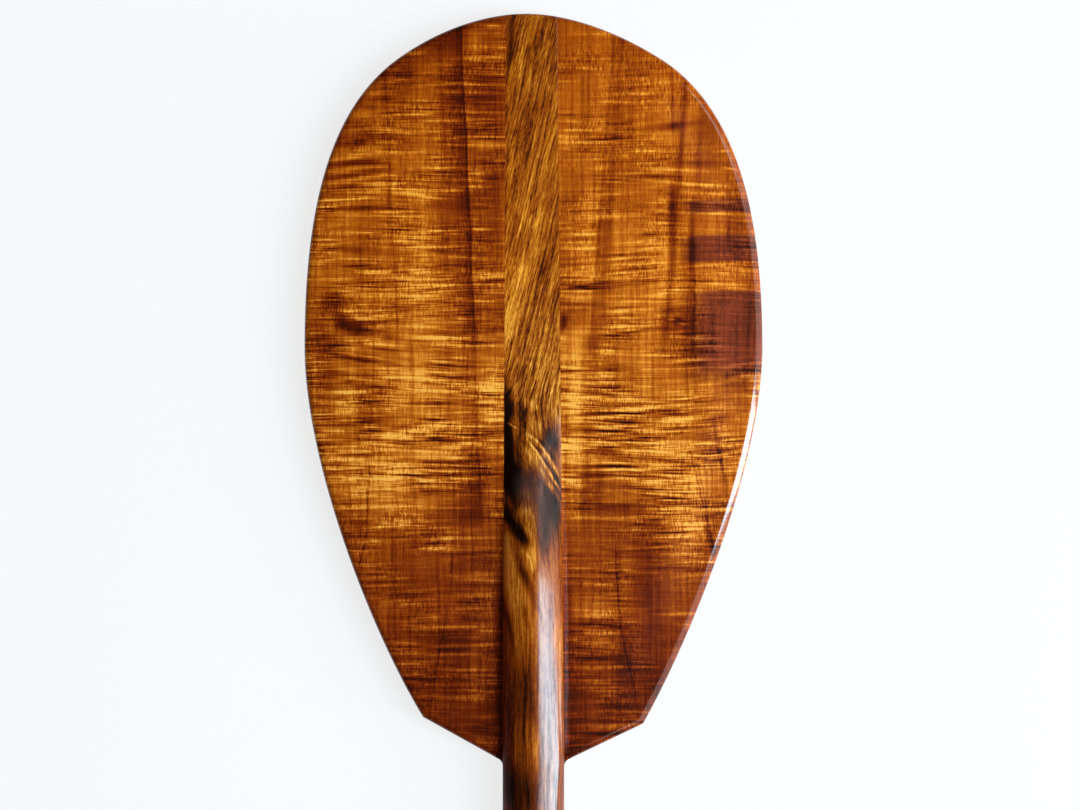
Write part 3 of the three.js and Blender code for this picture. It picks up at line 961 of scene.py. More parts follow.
LEFT_PATCHES = (
    (-28.4, 230, 12.2, 11, 0, -0.22), (-81.6, 63.7, 18.3, 36.7, 0, -0.04),
    (-47.4, 28.2, 7.3, 13.4, 0, 0.12), (-49.8, 39.2, 8.6, 6.1, 0, -0.2), (-22.3, 440.9, 4.9, 9.8, 0, 0.2),
    (-96.9, 55.8, 8.6, 7.3, 0, 0.15), (-52.3, 297.2, 12.2, 8.6, 0, -0.12),
    (-97.5, 198.2, 15.9, 7.9, 0, -0.17), (-97.5, 220.2, 14.7, 8.6, 0, 0.16),
    (-32.1, 269.7, 11, 36.7, 0, -0.16), (-43.7, 306.4, 28.1, 6.7, 0, -0.24),
    (-98.1, 324.7, 11, 19.6, 0, 0.15), (-22.9, 349.2, 4.9, 31.8, 0, 0.2),
    (-31.5, 144.4, 12.2, 18.3, 0, -0.14), (-131.7, 187.2, 6.1, 24.5, 0, -0.16),
    (-37.6, 16, 7.3, 13.4, 0, 0.12), (-51, 392, 12.2, 20.8, 0, -0.12), (-77.3, 39.2, 9.2, 7.3, 0, -0.22),
    (-51.7, 131, 6.7, 13.4, 0, -0.12), (-33.9, 285, 23.2, 24.5, 0, -0.34),
    (-98.7, 92.4, 15.9, 34.2, 0, 0.13), (-91.4, 238.5, 13.4, 9.8, 0, 0.25),
    (-127.5, 198.2, 15.9, 12.2, 0, -0.2), (-51, 71, 8.6, 34.2, 0, -0.13), (-78.6, 282, 20.8, 11, 0, 0.12),
    (-48, 226.9, 12.2, 12.2, 0, -0.04), (-29, 382.8, 13.4, 36.7, 0, 0.2),
    (-25.4, 64.9, 8.6, 28.1, 0, 0.1), (-113.4, 121.2, 11, 8.6, 0, 0.2),
    (-63.3, 349.2, 30.6, 12.2, 0, -0.12), (-32.7, 333.9, 15.9, 13.4, 0, -0.12),
    (-66.3, 22.1, 37.9, 11.6, 33, -0.32), (-35.2, 20.3, 6.7, 11.6, 0, 0.35),
    (-22.9, 19.7, 7.3, 18.3, 0, 0.22), (-28.4, 53.9, 14.7, 15.9, 0, -0.3),
    (-28.4, 80.8, 14.7, 3.7, 0, 0.5), (-28.4, 113.8, 11, 36.7, 0, -0.22),
    (-122, 176.8, 9.8, 7.9, 0, -0.5), (-117.7, 186.6, 5.5, 5.5, 0, -0.3),
    (-109.7, 184.1, 9.2, 2.45, -18, 0.7), (-111, 191.5, 14.1, 5.2, -10, -0.62),
    (-120.1, 204.3, 9.2, 4.3, 0, -0.38), (-100, 228.2, 12.2, 9.2, 0, -0.28),
    (-95.1, 243.4, 13.4, 12.2, 0, -0.4), (-93.8, 165.2, 18.3, 4.3, 0, -0.2),
    (-24.8, 226.9, 8.6, 24.5, 0, 0.3), (-73.1, 226.3, 19.6, 14.7, 0, 0.3),
    (-73.1, 190.3, 15.9, 30.6, 0, 0.12), (-85.9, 283.8, 9.2, 25.7, 0, 0.3),
    (-108.5, 287.5, 22, 19.6, 0, 0.18), (-52.3, 382.8, 6.7, 42.8, 80, -0.22),
    # The two marks on the next line darken the wing along the shaft's left side, beside the raised ridge:
    # painted shade
    (-21.1, 364.5, 4.3, 25.7, 0, -0.4), (-21.1, 413.4, 4.3, 36.7, 0, -0.25),
    (-49.8, 116.9, 18.3, 6.1, 0, -0.18), (-130.5, 214.7, 8.6, 36.7, 0, -0.15),
    (-52.3, 144.4, 9.8, 18.3, 0, -0.12), (-38.8, 251.4, 22, 12.2, 0, 0.12),
    (-124.4, 72.3, 12.2, 12.2, 0, -0.12),
)
RIGHT_LINES = (
    (85.3, 68.6, 16.5, 2.2, 4, -0.5), (44.3, 77.2, 14.7, 1.1, 5, -0.5), (55.9, 67.4, 7.9, 0.98, 4, -0.45),
    (33.3, 34.1, 7.3, 0.98, 0, 0.55), (51, 31.3, 6.7, 0.98, 6, 0.4), (48.6, 54.5, 9.8, 0.73, 0, 0.45),
    (18.6, 42.3, 7.3, 0.73, 0, 0.35), (20.5, 62.5, 7.3, 1.04, 0, -0.4), (19.3, 58.8, 6.1, 0.73, 0, -0.3),
    (85.9, 95.5, 26.9, 1.04, -2.5, 0.7), (90.8, 103.7, 29.3, 1.04, -4, 0.7),
    (73.1, 99.5, 15.9, 1.71, -2, -0.45), (96.9, 91.2, 30.6, 2.57, 0, -0.38),
    (119.8, 94.3, 5.5, 0.67, -8, 0.6), (40.7, 94.9, 6.7, 1.34, 0, 0.45),
    (47.4, 101.9, 10.4, 1.04, 0, -0.5), (100, 122.3, 33, 0.86, -1.5, 0.6),
    (98.1, 117.8, 6.1, 3.7, 0, -0.35), (20.5, 115.1, 7.9, 1.96, 0, -0.3),
    (54.1, 159.1, 9.2, 0.73, 0, 0.55), (100, 154.5, 37.9, 0.86, 4.3, 0.5),
    (57.8, 156.8, 14.7, 1.22, 4, -0.55), (81.6, 160.6, 20.2, 1.34, 5, -0.5),
    (30.9, 167.6, 18.3, 1.96, -3, -0.6), (25.4, 171.9, 11, 3.1, 0, 0.35),
    (30.9, 177.4, 17.1, 1.34, 0, -0.45), (62.1, 175.9, 19, 0.86, 0, 0.45),
    (63.9, 181.1, 17.1, 0.86, 0, 0.35), (64.5, 194.2, 19, 1.34, 8.5, -0.45),
    (84.4, 187.2, 2.8, 0.67, 0, 1.1), (91.1, 189.6, 3.4, 0.67, -8, 1.2),
    (97.8, 175, 28.1, 0.92, 90, -0.5), (49.2, 217.2, 23.2, 1.34, 1.5, -0.45),
    (43.7, 219.6, 17.1, 0.73, 0, 0.5), (43.7, 222.3, 17.1, 1.04, 0, -0.3),
    (39.4, 225.1, 25.7, 0.79, 0, 0.6), (44.9, 227.4, 18.3, 1.59, 0, -0.48),
    (39.4, 229.5, 25.7, 0.79, 0, 0.55), (40.7, 233.4, 24.5, 0.73, 0, -0.38),
    (48, 237.8, 26.9, 1.59, 0, 0.4), (46.8, 241.3, 20.8, 1.1, 2, -0.6), (45.5, 243, 24.5, 0.73, 1, 0.55),
    (44.3, 245, 23.2, 1.34, 1, -0.48), (44.3, 247.4, 25.7, 0.73, 1, 0.45),
    (40.7, 254.4, 26.9, 1.34, 1, -0.62), (44.3, 256.4, 26.9, 0.73, 2, 0.55),
    (44.3, 258.4, 25.7, 0.92, 2, -0.42), (44.3, 260.9, 26.9, 0.98, 3, -0.5),
    (43.1, 263.4, 23.2, 0.73, 0, 0.45), (37.6, 266.4, 17.1, 1.34, 0, -0.35),
    (48, 269.4, 24.5, 1.96, 0, 0.35), (40.7, 274.6, 20.8, 0.73, 0, 0.5),
    (40.7, 276.6, 20.8, 1.1, 0, -0.5), (48, 278.5, 31.8, 0.73, 0, 0.65),
    (43.1, 281.2, 29.3, 1.83, 0, -0.62), (44.3, 284, 29.3, 0.73, 0, 0.65),
    (40.7, 287.8, 26.9, 1.96, 0, -0.25), (40.7, 291.1, 24.5, 0.67, 0, 0.45),
    (40.7, 298, 26.9, 0.67, 0, 0.5), (48, 301.8, 34.2, 3.7, 0, -0.36), (84.1, 303.4, 7.3, 1.96, 0, -0.35),
    (62.7, 307.9, 48.9, 1.1, 1, 0.75), (90.8, 312.2, 12.2, 1.71, 0, 0.42),
    (101.8, 294.2, 35.5, 0.73, -77, -0.4), (104.2, 297.2, 29.3, 0.73, -80, -0.4),
    (114, 271.6, 25.7, 1.34, -80, -0.42), (107.3, 320.5, 13.4, 2.08, -76, -0.6),
    (51.7, 352.3, 33, 0.79, -86, -0.45), (58.4, 398.1, 26.9, 0.79, -78, -0.45),
    (93.8, 342.5, 13.4, 1.34, -3, 0.4), (83.4, 366.9, 16.5, 1.04, 0, 0.38),
    (52.9, 374.3, 37.9, 2.08, 0, -0.25), (36.4, 367.5, 15.9, 1.47, 2, 0.5),
    (47.4, 387.4, 15.3, 1.96, -3, 0.45), (47.4, 399, 26.3, 1.1, 0, 0.75),
    (41.3, 406.7, 22, 0.73, 0, 0.45), (46.2, 411.3, 26.3, 0.79, 0, 0.6),
    (49.2, 420.1, 14.7, 1.34, -2, 0.5), (40.7, 435.7, 19, 1.96, -2, 0.6),
    (40.7, 439.1, 17.1, 1.34, -2, -0.4), (89.6, 366.6, 11.6, 1.1, 3, 0.45),
    (40.7, 393.2, 24.5, 2.14, 0, -0.25), (40.7, 415.8, 24.5, 1.83, 0, -0.25),
    (40.7, 321.7, 22, 1.22, 0, 0.25), (84.7, 52.7, 28.1, 1.1, 90, -0.35),
    (59.9, 68, 42.8, 0.61, 90, -0.3),
)
RIGHT_PATCHES = (
    (84.1, 121.2, 2.4, 28.1, 0, -0.3), (96, 135.8, 2.1, 22, 0, -0.24), (91.4, 111.4, 3.7, 11, 0, -0.2),
    (97.5, 193.3, 2.4, 26.9, 0, -0.25), (38.8, 95.5, 5.5, 24.5, 0, -0.1),
    (65.7, 324.7, 7.3, 24.5, 0, -0.1), (25.4, 9.9, 7.3, 7.3, 0, 0.15), (94.5, 205.5, 9.8, 14.7, 0, -0.12),
    (38.2, 64.9, 5.5, 9.8, 0, 0.1), (65.7, 37.4, 11, 7.3, 0, -0.15), (115.2, 175, 1.8, 18.3, 0, -0.2),
    (124.4, 202.5, 1.8, 24.5, 0, -0.2), (109.1, 193.3, 1.8, 20.8, 0, -0.25),
    (118.9, 133.4, 1.8, 7.3, 0, -0.25), (32.1, 285, 14.7, 14.7, 0, -0.22),
    (45.5, 199.4, 11, 7.3, 0, 0.18), (25.4, 178, 5.5, 9.8, 0, 0.2), (123.2, 123, 8.6, 36.7, 0, -0.15),
    (133, 187.2, 6.1, 46.5, 0, -0.18), (92.6, 168.9, 6.7, 46.5, 0, -0.14),
    (65.7, 353.5, 6.7, 11, 0, -0.15), (25.4, 346.1, 5.5, 6.7, 0, -0.16), (45.5, 380.4, 9.8, 9.8, 0, 0.17),
    (52.3, 420.7, 18.3, 9.2, 0, -0.18), (85.9, 291.1, 20.8, 9.8, 0, 0.12),
    (109.1, 251.4, 13.4, 18.3, 0, -0.1), (52.3, 151.7, 7.9, 34.2, 0, 0.16),
    (96.9, 316.8, 20.8, 17.1, 0, 0.3), (74.3, 392, 14.7, 37.9, 0, -0.2),
    (129.9, 138.3, 13.4, 48.9, 0, -0.15), (94.5, 205.5, 20.8, 14.7, 0, -0.18),
    (124.4, 231.2, 14.7, 13.4, 0, -0.26), (48, 294.8, 28.1, 11, 0, -0.2), (26, 236.1, 5.5, 30.6, 0, 0.18),
    (38.8, 378.5, 8.6, 13.4, 0, 0.25), (24.8, 58.8, 7.3, 36.7, 0, 0.08), (52.3, 184.7, 8.6, 8.6, 0, 0.15),
    (82.2, 170.1, 9.8, 7.3, 0, 0.2), (38.8, 132.2, 5.5, 24.5, 0, -0.12), (24.8, 196.4, 7.3, 11, 0, 0.2),
    (95.7, 147.5, 7.3, 9.8, 0, -0.2), (87.1, 123, 9.8, 8.6, 0, -0.12), (85.6, 69.8, 4.9, 3.7, 0, -0.4),
    (84.4, 113.8, 3.7, 10.4, 0, -0.26), (18.3, 189, 3.1, 6.7, 0, -0.5), (24.1, 184.7, 12.2, 8.6, 0, -0.3),
    (88, 188.1, 4.3, 3.7, 0, -0.35), (89.6, 187.2, 14.7, 12.8, 0, -0.25),
    (36.1, 202.5, 7.3, 5.5, 0, -0.32), (21.7, 210.4, 8.6, 5.5, 0, 0.2),
    (106.1, 264.8, 12.2, 11, 0, -0.22), (95.1, 291.7, 18.3, 15.9, 0, 0.24),
    (78.6, 264.2, 20.8, 12.2, 0, 0.2), (71.8, 340, 11.6, 41.6, 0, -0.25),
    (37.6, 363.3, 18.3, 7.3, -4, 0.35), (93.8, 332.7, 14.7, 4.9, 0, 0.18), (19.3, 79.6, 7.3, 5.5, 0, 0.3),
    (55.9, 399.9, 7.3, 20.8, 0, -0.3), (81.6, 71, 17.1, 27.5, 0, 0.12),
    (72.4, 144.4, 18.3, 15.9, 0, 0.15), (21.1, 34.4, 7.3, 8.6, 0, -0.14),
    (52.9, 49.6, 12.2, 30.6, 0, -0.06), (117.1, 64.9, 12.2, 30.6, -60, -0.18),
    (34.5, 141.3, 8.6, 36.7, 0, 0.06), (123.2, 236.1, 18.3, 8.6, 0, 0.1),
    (95.7, 219, 13.4, 8.6, 0, -0.15), (25.4, 419.5, 9.8, 24.5, 0, -0.15),
    (123.2, 159.7, 18.3, 7.3, 2, 0.3),
)
STICK_LINES = (
    (-4.3, 36.8, 36.7, 1.34, 75, -0.3), (-15, 28.2, 26.9, 1.83, 84, -0.45),
    (7.6, 45.4, 23.2, 1.1, 77, -0.2), (0.3, 58.8, 30.6, 0.98, 76, -0.3),
    (11.9, 29.5, 20.8, 1.47, 86, -0.35), (-8.3, 64.9, 22, 0.92, 74, 0.3),
    (-17.1, 116.9, 42.8, 1.1, 88, -0.4), (4.6, 158.5, 6.1, 1.22, 56, -0.45),
    (-12.5, 137.1, 12.2, 1.22, 72, -0.35), (9.5, 95.5, 24.5, 0.86, 80, -0.3),
    (-2.1, 107.7, 18.3, 0.86, 78, 0.25), (11.9, 193.3, 26.9, 0.86, 88, -0.3),
    (-6.4, 126.7, 12.2, 0.92, 70, 0.45), (-10.1, 135.8, 7.3, 0.73, 68, 0.4),
    (1.5, 141.3, 14.7, 0.73, 70, 0.25), (4, 236.1, 13.4, 0.79, 70, 0.4),
    (-3.4, 234.9, 11, 0.79, 66, 0.35), (10.7, 233.7, 15.9, 0.79, 76, 0.4),
    (0.3, 231.2, 13.4, 0.92, 68, -0.45), (6.4, 228.8, 15.9, 0.73, 72, -0.35),
    (-7.6, 228.8, 12.2, 0.86, 62, -0.45), (-13.8, 230, 9.8, 0.86, 56, -0.45),
    (-16.2, 198.2, 20.8, 1.22, 82, -0.35), (-8.3, 193.3, 24.5, 0.86, 74, -0.35),
    (-2.1, 188.4, 24.5, 0.86, 75, -0.3), (4.6, 199.4, 24.5, 0.86, 76, -0.25),
    (-5.8, 205.5, 18.3, 0.73, 74, 0.25), (-13.1, 214.7, 15.9, 0.79, 66, -0.35),
    (8.9, 205.5, 18.3, 0.73, 80, 0.25), (-5.5, 342.5, 23.2, 2.69, -68, -0.75),
    (-15.6, 370.6, 23.2, 2.08, -77, -0.8), (-7.6, 382.8, 36.7, 0.86, -84, -0.3),
    (-2.1, 413.4, 30.6, 0.86, 88, -0.3), (-15, 419.5, 36.7, 0.86, 89, -0.4),
    (-10.7, 440.9, 30.6, 0.79, 90, 0.3), (-5.8, 434.8, 30.6, 0.79, 90, -0.35),
    (1.5, 447, 18.3, 0.98, -86, 0.35), (-13.1, 474.5, 18.3, 0.98, 88, -0.35),
    (-3.4, 474.5, 15.9, 0.98, -86, -0.35), (16.2, 413.4, 36.7, 0.98, 89, 0.3),
    (13.8, 468.4, 14.7, 1.22, 80, -0.3),
)
# Painted sheen over the knot: a grey cast laid into the dark wood's colour where a soft reflection lies,
# with the same columns as the marks above
STICK_PAINTED_SHEEN = (
    (-0.3, 291.1, 9.8, 15.9, 0, 0.62), (5.8, 311.9, 7.3, 14.7, 0, 0.35), (-7.6, 287.5, 5.5, 9.8, 0, 0.2),
)
STICK_CRACKS = (
    (-12.5, 252, 5.5, 0.55, -30, 0.9), (-4.6, 257.8, 4, 3.1, -48, 0.75),
    (-1.1, 258.7, 4.9, 0.79, -36, 0.9), (4, 263.5, 5.5, 0.73, -52, 1.1),
    (8.4, 269.7, 6.1, 0.73, -56, 1.1), (13.4, 278.3, 6.7, 0.73, -60, 1.15),
    (-1.2, 263.6, 5.5, 0.86, -50, 0.9), (4.6, 271.9, 7.3, 0.92, -58, 1),
    (12.2, 284.4, 8.6, 0.92, -59, 1.2), (1.5, 264.8, 5.5, 0.92, -50, -0.7),
    (7.9, 274, 7.9, 1.04, -57, -0.85), (13.8, 283.8, 6.7, 1.04, -60, -0.8),
    (4.6, 261.5, 7.3, 0.92, -48, -0.55), (11.9, 271.3, 7.3, 0.98, -60, -0.6),
    (10.4, 288.4, 11, 1.71, -58, 1), (4.6, 278.9, 6.1, 0.98, -58, 0.5),
)
STICK_PATCHES = (
    (-16.2, 241, 4.9, 17.1, 0, -0.6), (-5.8, 243.4, 11, 4.9, -8, -0.34), (-0.6, 239.8, 3.4, 3.7, 0, 0.35),
    (-16.8, 260.6, 4.3, 37.9, 0, -0.5), (-11.9, 289.9, 4.9, 12.2, 0, -0.6),
    (-6.4, 283.8, 4.3, 8.6, 0, -0.3), (-15.6, 305.8, 7.3, 4.3, -50, -0.7),
    (-15, 23.4, 3.7, 19.6, 0, -0.12), (-1.5, 289.3, 3.1, 15.9, 0, -0.3),
    (-16.8, 382.8, 4.3, 40.3, 0, 0.3), (8.9, 419.5, 4.9, 48.9, 0, -0.2), (1.5, 445.2, 3.1, 13.4, 0, 0.4),
    # The last mark on the next line, 1.8 mm right of the axis at station 388.9, lightens the wood along the
    # left edge of the shaft's streak of glare: a painted highlight
    (8.3, 260.6, 5.5, 9.8, 0, -0.25), (11.3, 285, 4.9, 13.4, 0, -0.1), (1.8, 388.9, 2.4, 44, 0, 0.25),
    (-16.8, 335.1, 3.7, 17.1, 0, 1.4), (-16.8, 419.5, 3.7, 30.6, 0, 0.35),
    (14.4, 297.2, 3.1, 36.7, 0, -0.2), (7, 321.7, 6.1, 8.6, 0, -0.2), (-8.3, 219.6, 5.5, 5.5, 0, -0.35),
    (14.4, 237.3, 3.7, 20.8, 0, 0.32), (-14.4, 175, 4.9, 28.1, 0, 0.3), (-7.6, 159.1, 4.3, 8.6, 0, 0.34),
    (7, 25.2, 3.7, 26.9, 0, 0.25), (-7.6, 25.2, 3.7, 24.5, 0, 0.2), (-0.3, 321.7, 4.3, 20.8, 0, 0.35),
    (4.6, 251.1, 5.5, 3.7, 0, 0.3), (11.6, 259.3, 5.5, 10.4, 0, -0.6),
    (-14.4, 266.7, 6.1, 12.2, 0, -0.55), (-13.8, 281.3, 7.3, 11, 0, -0.65),
    (9.5, 300.9, 8.6, 18.3, 0, -0.76), (-0.3, 283.8, 4.9, 6.1, 0, -0.3), (-4.9, 304, 3.7, 3.1, 0, 0.4),
    (-11.3, 298.5, 7.3, 6.1, 0, -0.2), (-8.3, 317.4, 12.8, 4, -50, -0.85),
    (-13.8, 344.9, 5.5, 28.1, 0, 0.3), (-0.9, 331.5, 3.1, 7.3, 0, 0.5), (-8.3, 353.5, 7.9, 12.2, 0, 0.3),
    (-16.2, 413.4, 4.9, 45.2, 0, -0.46), (-6.4, 379.2, 6.7, 17.1, 0, 0.25),
    (-7, 413.4, 6.1, 19.6, 0, -0.3), (-0.3, 444.6, 4.6, 13.4, 0, 0.35),
    (-8.3, 475.8, 10.4, 18.3, 0, -0.5), (-15.6, 465.4, 4.3, 14.7, 0, -0.3),
    (15.6, 382.8, 3.7, 14.7, 0, 0.3), (16.8, 422.6, 2.4, 34.2, 0, 0.2),
    (-1.5, 270.3, 10.4, 3.7, -50, 0.2), (7, 324.7, 7.3, 13.4, 0, -0.3), (-12.5, 9.9, 4.9, 18.3, 0, -0.3),
    (-2.1, 40.5, 8.6, 30.6, 78, 0.15), (-3.4, 126.1, 7.3, 14.7, 70, 0.15), (4, 217.8, 9.8, 14.7, 0, 0.12),
    (13.8, 113.8, 3.7, 36.7, 0, -0.12),
)

# Tone of the wood: against the station, and across the grain above and below the blade's middle.
# The curl and the figure are strengths against the station. The lean is how far the stick's grain
# has moved to the left there since the tip, as a share of its reach in millimetres
LEFT_TONE = (
    (0, 0.385), (50, 0.41), (110, 0.475), (150, 0.505), (190, 0.505), (230, 0.52),
    (285, 0.5), (299, 0.46), (308, 0.375), (335, 0.34), (370, 0.32), (405, 0.27), (457, 0.23),
)
LEFT_UPPER_GROWTH = (
    (-142, 1.0), (-90, 1.0), (-87.5, 0.92), (-86, 0.78), (-84.8, 1.02), (-79, 1.08), (-74, 1.17),
    (-64, 1.15), (-59, 1.02), (-53, 0.92), (-48, 0.82), (-44, 0.62), (-40.2, 0.5),
    (-38.9, 0.34), (-37.8, 0.84), (-30, 0.86), (-18, 0.8),
)
LEFT_LOWER_GROWTH = (
    (-142, 0.9), (-100, 1.0), (-85, 1.05), (-70, 1.12), (-58, 1.05), (-49, 0.95), (-44, 0.8),
    (-39.2, 0.74), (-38.2, 1.05), (-30, 1.08), (-18, 1.0),
)
LEFT_CURL = (
    (0, 0.6), (40, 0.8), (130, 0.95), (200, 1.15), (240, 1.35), (290, 1.3),
    (306, 0.8), (360, 0.75), (457, 0.8),
)
RIGHT_CURL = (
    (0, 0.4), (60, 0.45), (120, 0.6), (190, 0.85), (225, 1.2), (290, 1.25),
    (306, 0.9), (360, 0.75), (457, 0.85),
)
RIGHT_TONE = (
    (0, 0.45), (50, 0.48), (110, 0.49), (150, 0.515), (190, 0.525), (235, 0.54),
    (285, 0.52), (300, 0.46), (310, 0.38), (335, 0.36), (370, 0.34), (405, 0.28), (457, 0.23),
)
RIGHT_UPPER_GROWTH = (
    (14, 0.95), (27.5, 0.95), (30, 1.08), (38.5, 1.12), (39.8, 0.8), (42, 0.9), (45.5, 0.78), (48, 0.95),
    (60, 1.0), (70, 1.04), (82, 1.1), (84.5, 0.8), (86, 0.62), (87.6, 0.88), (89.5, 1.12),
    (95, 1.08), (97, 0.8), (99.5, 0.88), (101, 1.0), (142, 0.95),
)
RIGHT_LOWER_GROWTH = (
    (14, 1.02), (22.4, 1.08), (23, 1.28), (28, 1.28), (28.6, 1.0), (45, 0.97), (60, 1.02), (80, 1.06),
    (100, 1.04), (110, 0.98), (142, 0.98),
)
STICK_TONE = (
    (0, 0.41), (40, 0.43), (90, 0.46), (150, 0.46), (200, 0.52), (228, 0.48), (245, 0.42), (310, 0.38),
    (350, 0.42), (380, 0.4), (410, 0.34), (440, 0.34), (486, 0.32), (600, 0.35),
    (760, 0.38), (930, 0.34), (1100, 0.38), (1290, 0.37),
)
STICK_FIGURE = ((0, 1.0), (150, 1.05), (230, 1.2), (300, 1.0), (345, 0.65), (1290, 0.7))
STICK_LEAN = (
    (0, 0.0), (75, 0.5), (145, 0.95), (200, 1.35), (235, 1.6), (270, 1.58), (330, 1.45), (380, 1.4),
    (486, 1.43), (800, 1.54), (1290, 1.42),
)
STICK_LEAN_REACH = 34
# How the wood's colour shifts along the paddle, as a share of the ramp's red, green and blue
WING_TINTS = (
    (0, (1, 0.8, 0.3)), (150, (1, 0.83, 0.38)), (235, (1, 0.88, 0.5)), (300, (1, 0.88, 0.55)),
    (340, (1, 0.87, 0.65)), (457, (1, 0.9, 0.75)),
)
STICK_TINTS = (
    (0, (1, 0.82, 0.3)), (150, (1, 0.78, 0.3)), (215, (1, 0.86, 0.5)), (250, (1, 0.93, 0.75)),
    (310, (1, 0.92, 0.7)), (340, (1, 0.78, 0.42)), (400, (1, 0.79, 0.48)), (486, (1, 0.82, 0.5)),
    (1290, (1, 0.96, 0.9)),
)
FLANK_TINT = (1, 0.62, 0.4, 1)

# Lengths of the wood's waves in millimetres: across the blade, along the paddle and through it
CURL_WAVES = (36, 2.6, 40)
FINE_CURL_WAVES = (24, 1.05, 30)
WING_FIBRE_WAVES = (0.72, 4.2, 6)
GROWTH_LINE_WAVES = (1.9, 75, 20)
PATCHY_WAVES = (34, 22, 60)
STICK_BROAD_WAVES = (7, 110, 8)
STICK_STREAK_WAVES = (1.35, 46, 2.0)
STICK_DASH_WAVES = (0.9, 10, 1.2)
STICK_FIBRE_WAVES = (0.55, 3.0, 0.7)
PLANED_STREAK_WAVES = (1.6, 40, 1.6)
PLANED_PORE_WAVES = (0.4, 5, 0.4)

# How places wander, for uneven figure: the lengths of the waves, and about twice the reach
WING_WIDE_WANDER = ((110, 60, 80), (8.0, 7.0, 0))
WING_WANDER = ((44, 30, 60), (2.2, 2.4, 0))
WING_MARK_WANDER = ((6, 2.2, 20), (1.3, 0.8, 0))
STICK_WANDER = ((11, 38, 12), (3.0, 5, 3.0))
STICK_MARK_WANDER = ((7, 12, 20), (2.2, 4.0, 0))
STICK_CRACK_WANDER = ((3, 5, 20), (0.8, 1.2, 0))

# Where looks change: along the station, out from the ridge, over the axis, and right of the axis
GROWTH_CHANGE = (188, 216)
GROWTH_END = (300, 325)
RIDGE_FADE_IN = (215, 290)
# Stations over which the wider band of painted shade beside the ridge comes in
PAINTED_SHADE_FADE_IN = (300, 420)
FLANK_FADE_IN = (285, 325)
GLOSS_FADE_IN = (245, 430)
# Painted shade beside the ridge: how far out the darkened inside corner, whose finish is also dull, and the
# wider darkened band reach
SHADED_CORNER_REACH_OUT = (3.2, 7)
PAINTED_SHADE_REACH_OUT = (3, 18)
FRONT_HEIGHT = (-4, 5)
TINTED_FLANK = (-17, -8)
DULL_LEFT_FLANK = (-15, -9)
DULL_RIGHT_FLANK = (16.5, 19)

# How the growth leans, as millimetres to the right for each along, and the station it leans about
LEFT_GROWTH_SLANT = 0.045
RIGHT_GROWTH_SLANT = -0.075
SLANT_MIDDLE = 132

# Purple-brown blocks at the right wing's edge: the stations over which each starts and ends, the
# distances to the right over which its inner edge comes up, and its strength. They bend about the
# middle's distance to the right
HEART_BLOCKS = (
    ((112.5, 114.5), (120.5, 122.5), (88, 100), 0.85),
    ((134.5, 136.5), (150.5, 152), (88, 99), 1),
    ((168, 170), (214, 228), (91, 107), 1),
)
HEART_MIDDLE = 112

# Gloss and relief
COAT_IOR = 1.5
BARE_SPECULAR = 0.03
WING_RELIEF = 0.1
STICK_RELIEF = 0.3
FIBRE_DEPTH = 0.0003
PORE_DEPTH = 0.0002

# Lamps: tilt from overhead to the right and swing in degrees, distance, height and width in metres,
# the setting that holds the power, and the colour
LAMPS = {
    "window": (53, -8, 1.6, (2.2, 2.2), "window_power", (1.0, 0.93, 0.88)),
    "strip_light": (53.5, -11.5, 3.0, (4.5, 0.5), "strip_power", (0.62, 0.86, 1.0)),
    "skylight": (26, 43, 2.2, (0.42, 0.42), "skylight_power", (0.86, 0.93, 1.0)),
}

# The spots that the lamps and the camera face: right of the axis, and station
LIT_SPOT = (0, 300)
CAMERA_AIM = (4.0, 239.2)

# The camera's sensor in millimetres, and the table in metres
SENSOR_WIDTH = 36
TABLE_SIZE = 30

# Rays that the table and the room treat apart
RAYS = ("Is Camera Ray", "Is Glossy Ray", "Is Transmission Ray")


def glossy_wood(bench, colour, grain, shine, coat_roughness, relief):
    """The wood's surface: its colour, a faint relief of fibres, and clear gloss over it."""
    bump = bench.add("ShaderNodeBump", {}, {"Strength": relief, "Distance": FIBRE_DEPTH, "Height": grain})
    surface = bench.add(
        "ShaderNodeBsdfPrincipled",
        {},
        {
            "Base Color": colour,
            "Roughness": grain.times_plus(0.2, 0.35),
            "Specular IOR Level": BARE_SPECULAR,
            "Normal": bump,
            "Coat Weight": shine,
            "Coat Roughness": coat_roughness,
            "Coat IOR": COAT_IOR,
        },
    )
    bench.add("ShaderNodeOutputMaterial", {}, {"Surface": surface})


def growth_bands(bench, x, station, left):
    """Bands of growth along the grain, which change at the blade's middle and end at its root.

    All of them lean but the right wing's lower ones.
    """
    skewed = x - (station - SLANT_MIDDLE) * (LEFT_GROWTH_SLANT if left else RIGHT_GROWTH_SLANT)
    upper = bench.profile(skewed, LEFT_UPPER_GROWTH if left else RIGHT_UPPER_GROWTH)
    lower = bench.profile(skewed if left else x, LEFT_LOWER_GROWTH if left else RIGHT_LOWER_GROWTH)
    below_middle = bench.step(station, *GROWTH_CHANGE)
    near_root = bench.step(station, *GROWTH_END)
    growth = lower * below_middle + upper * (1 - below_middle)
    return growth * (1 - near_root) + near_root


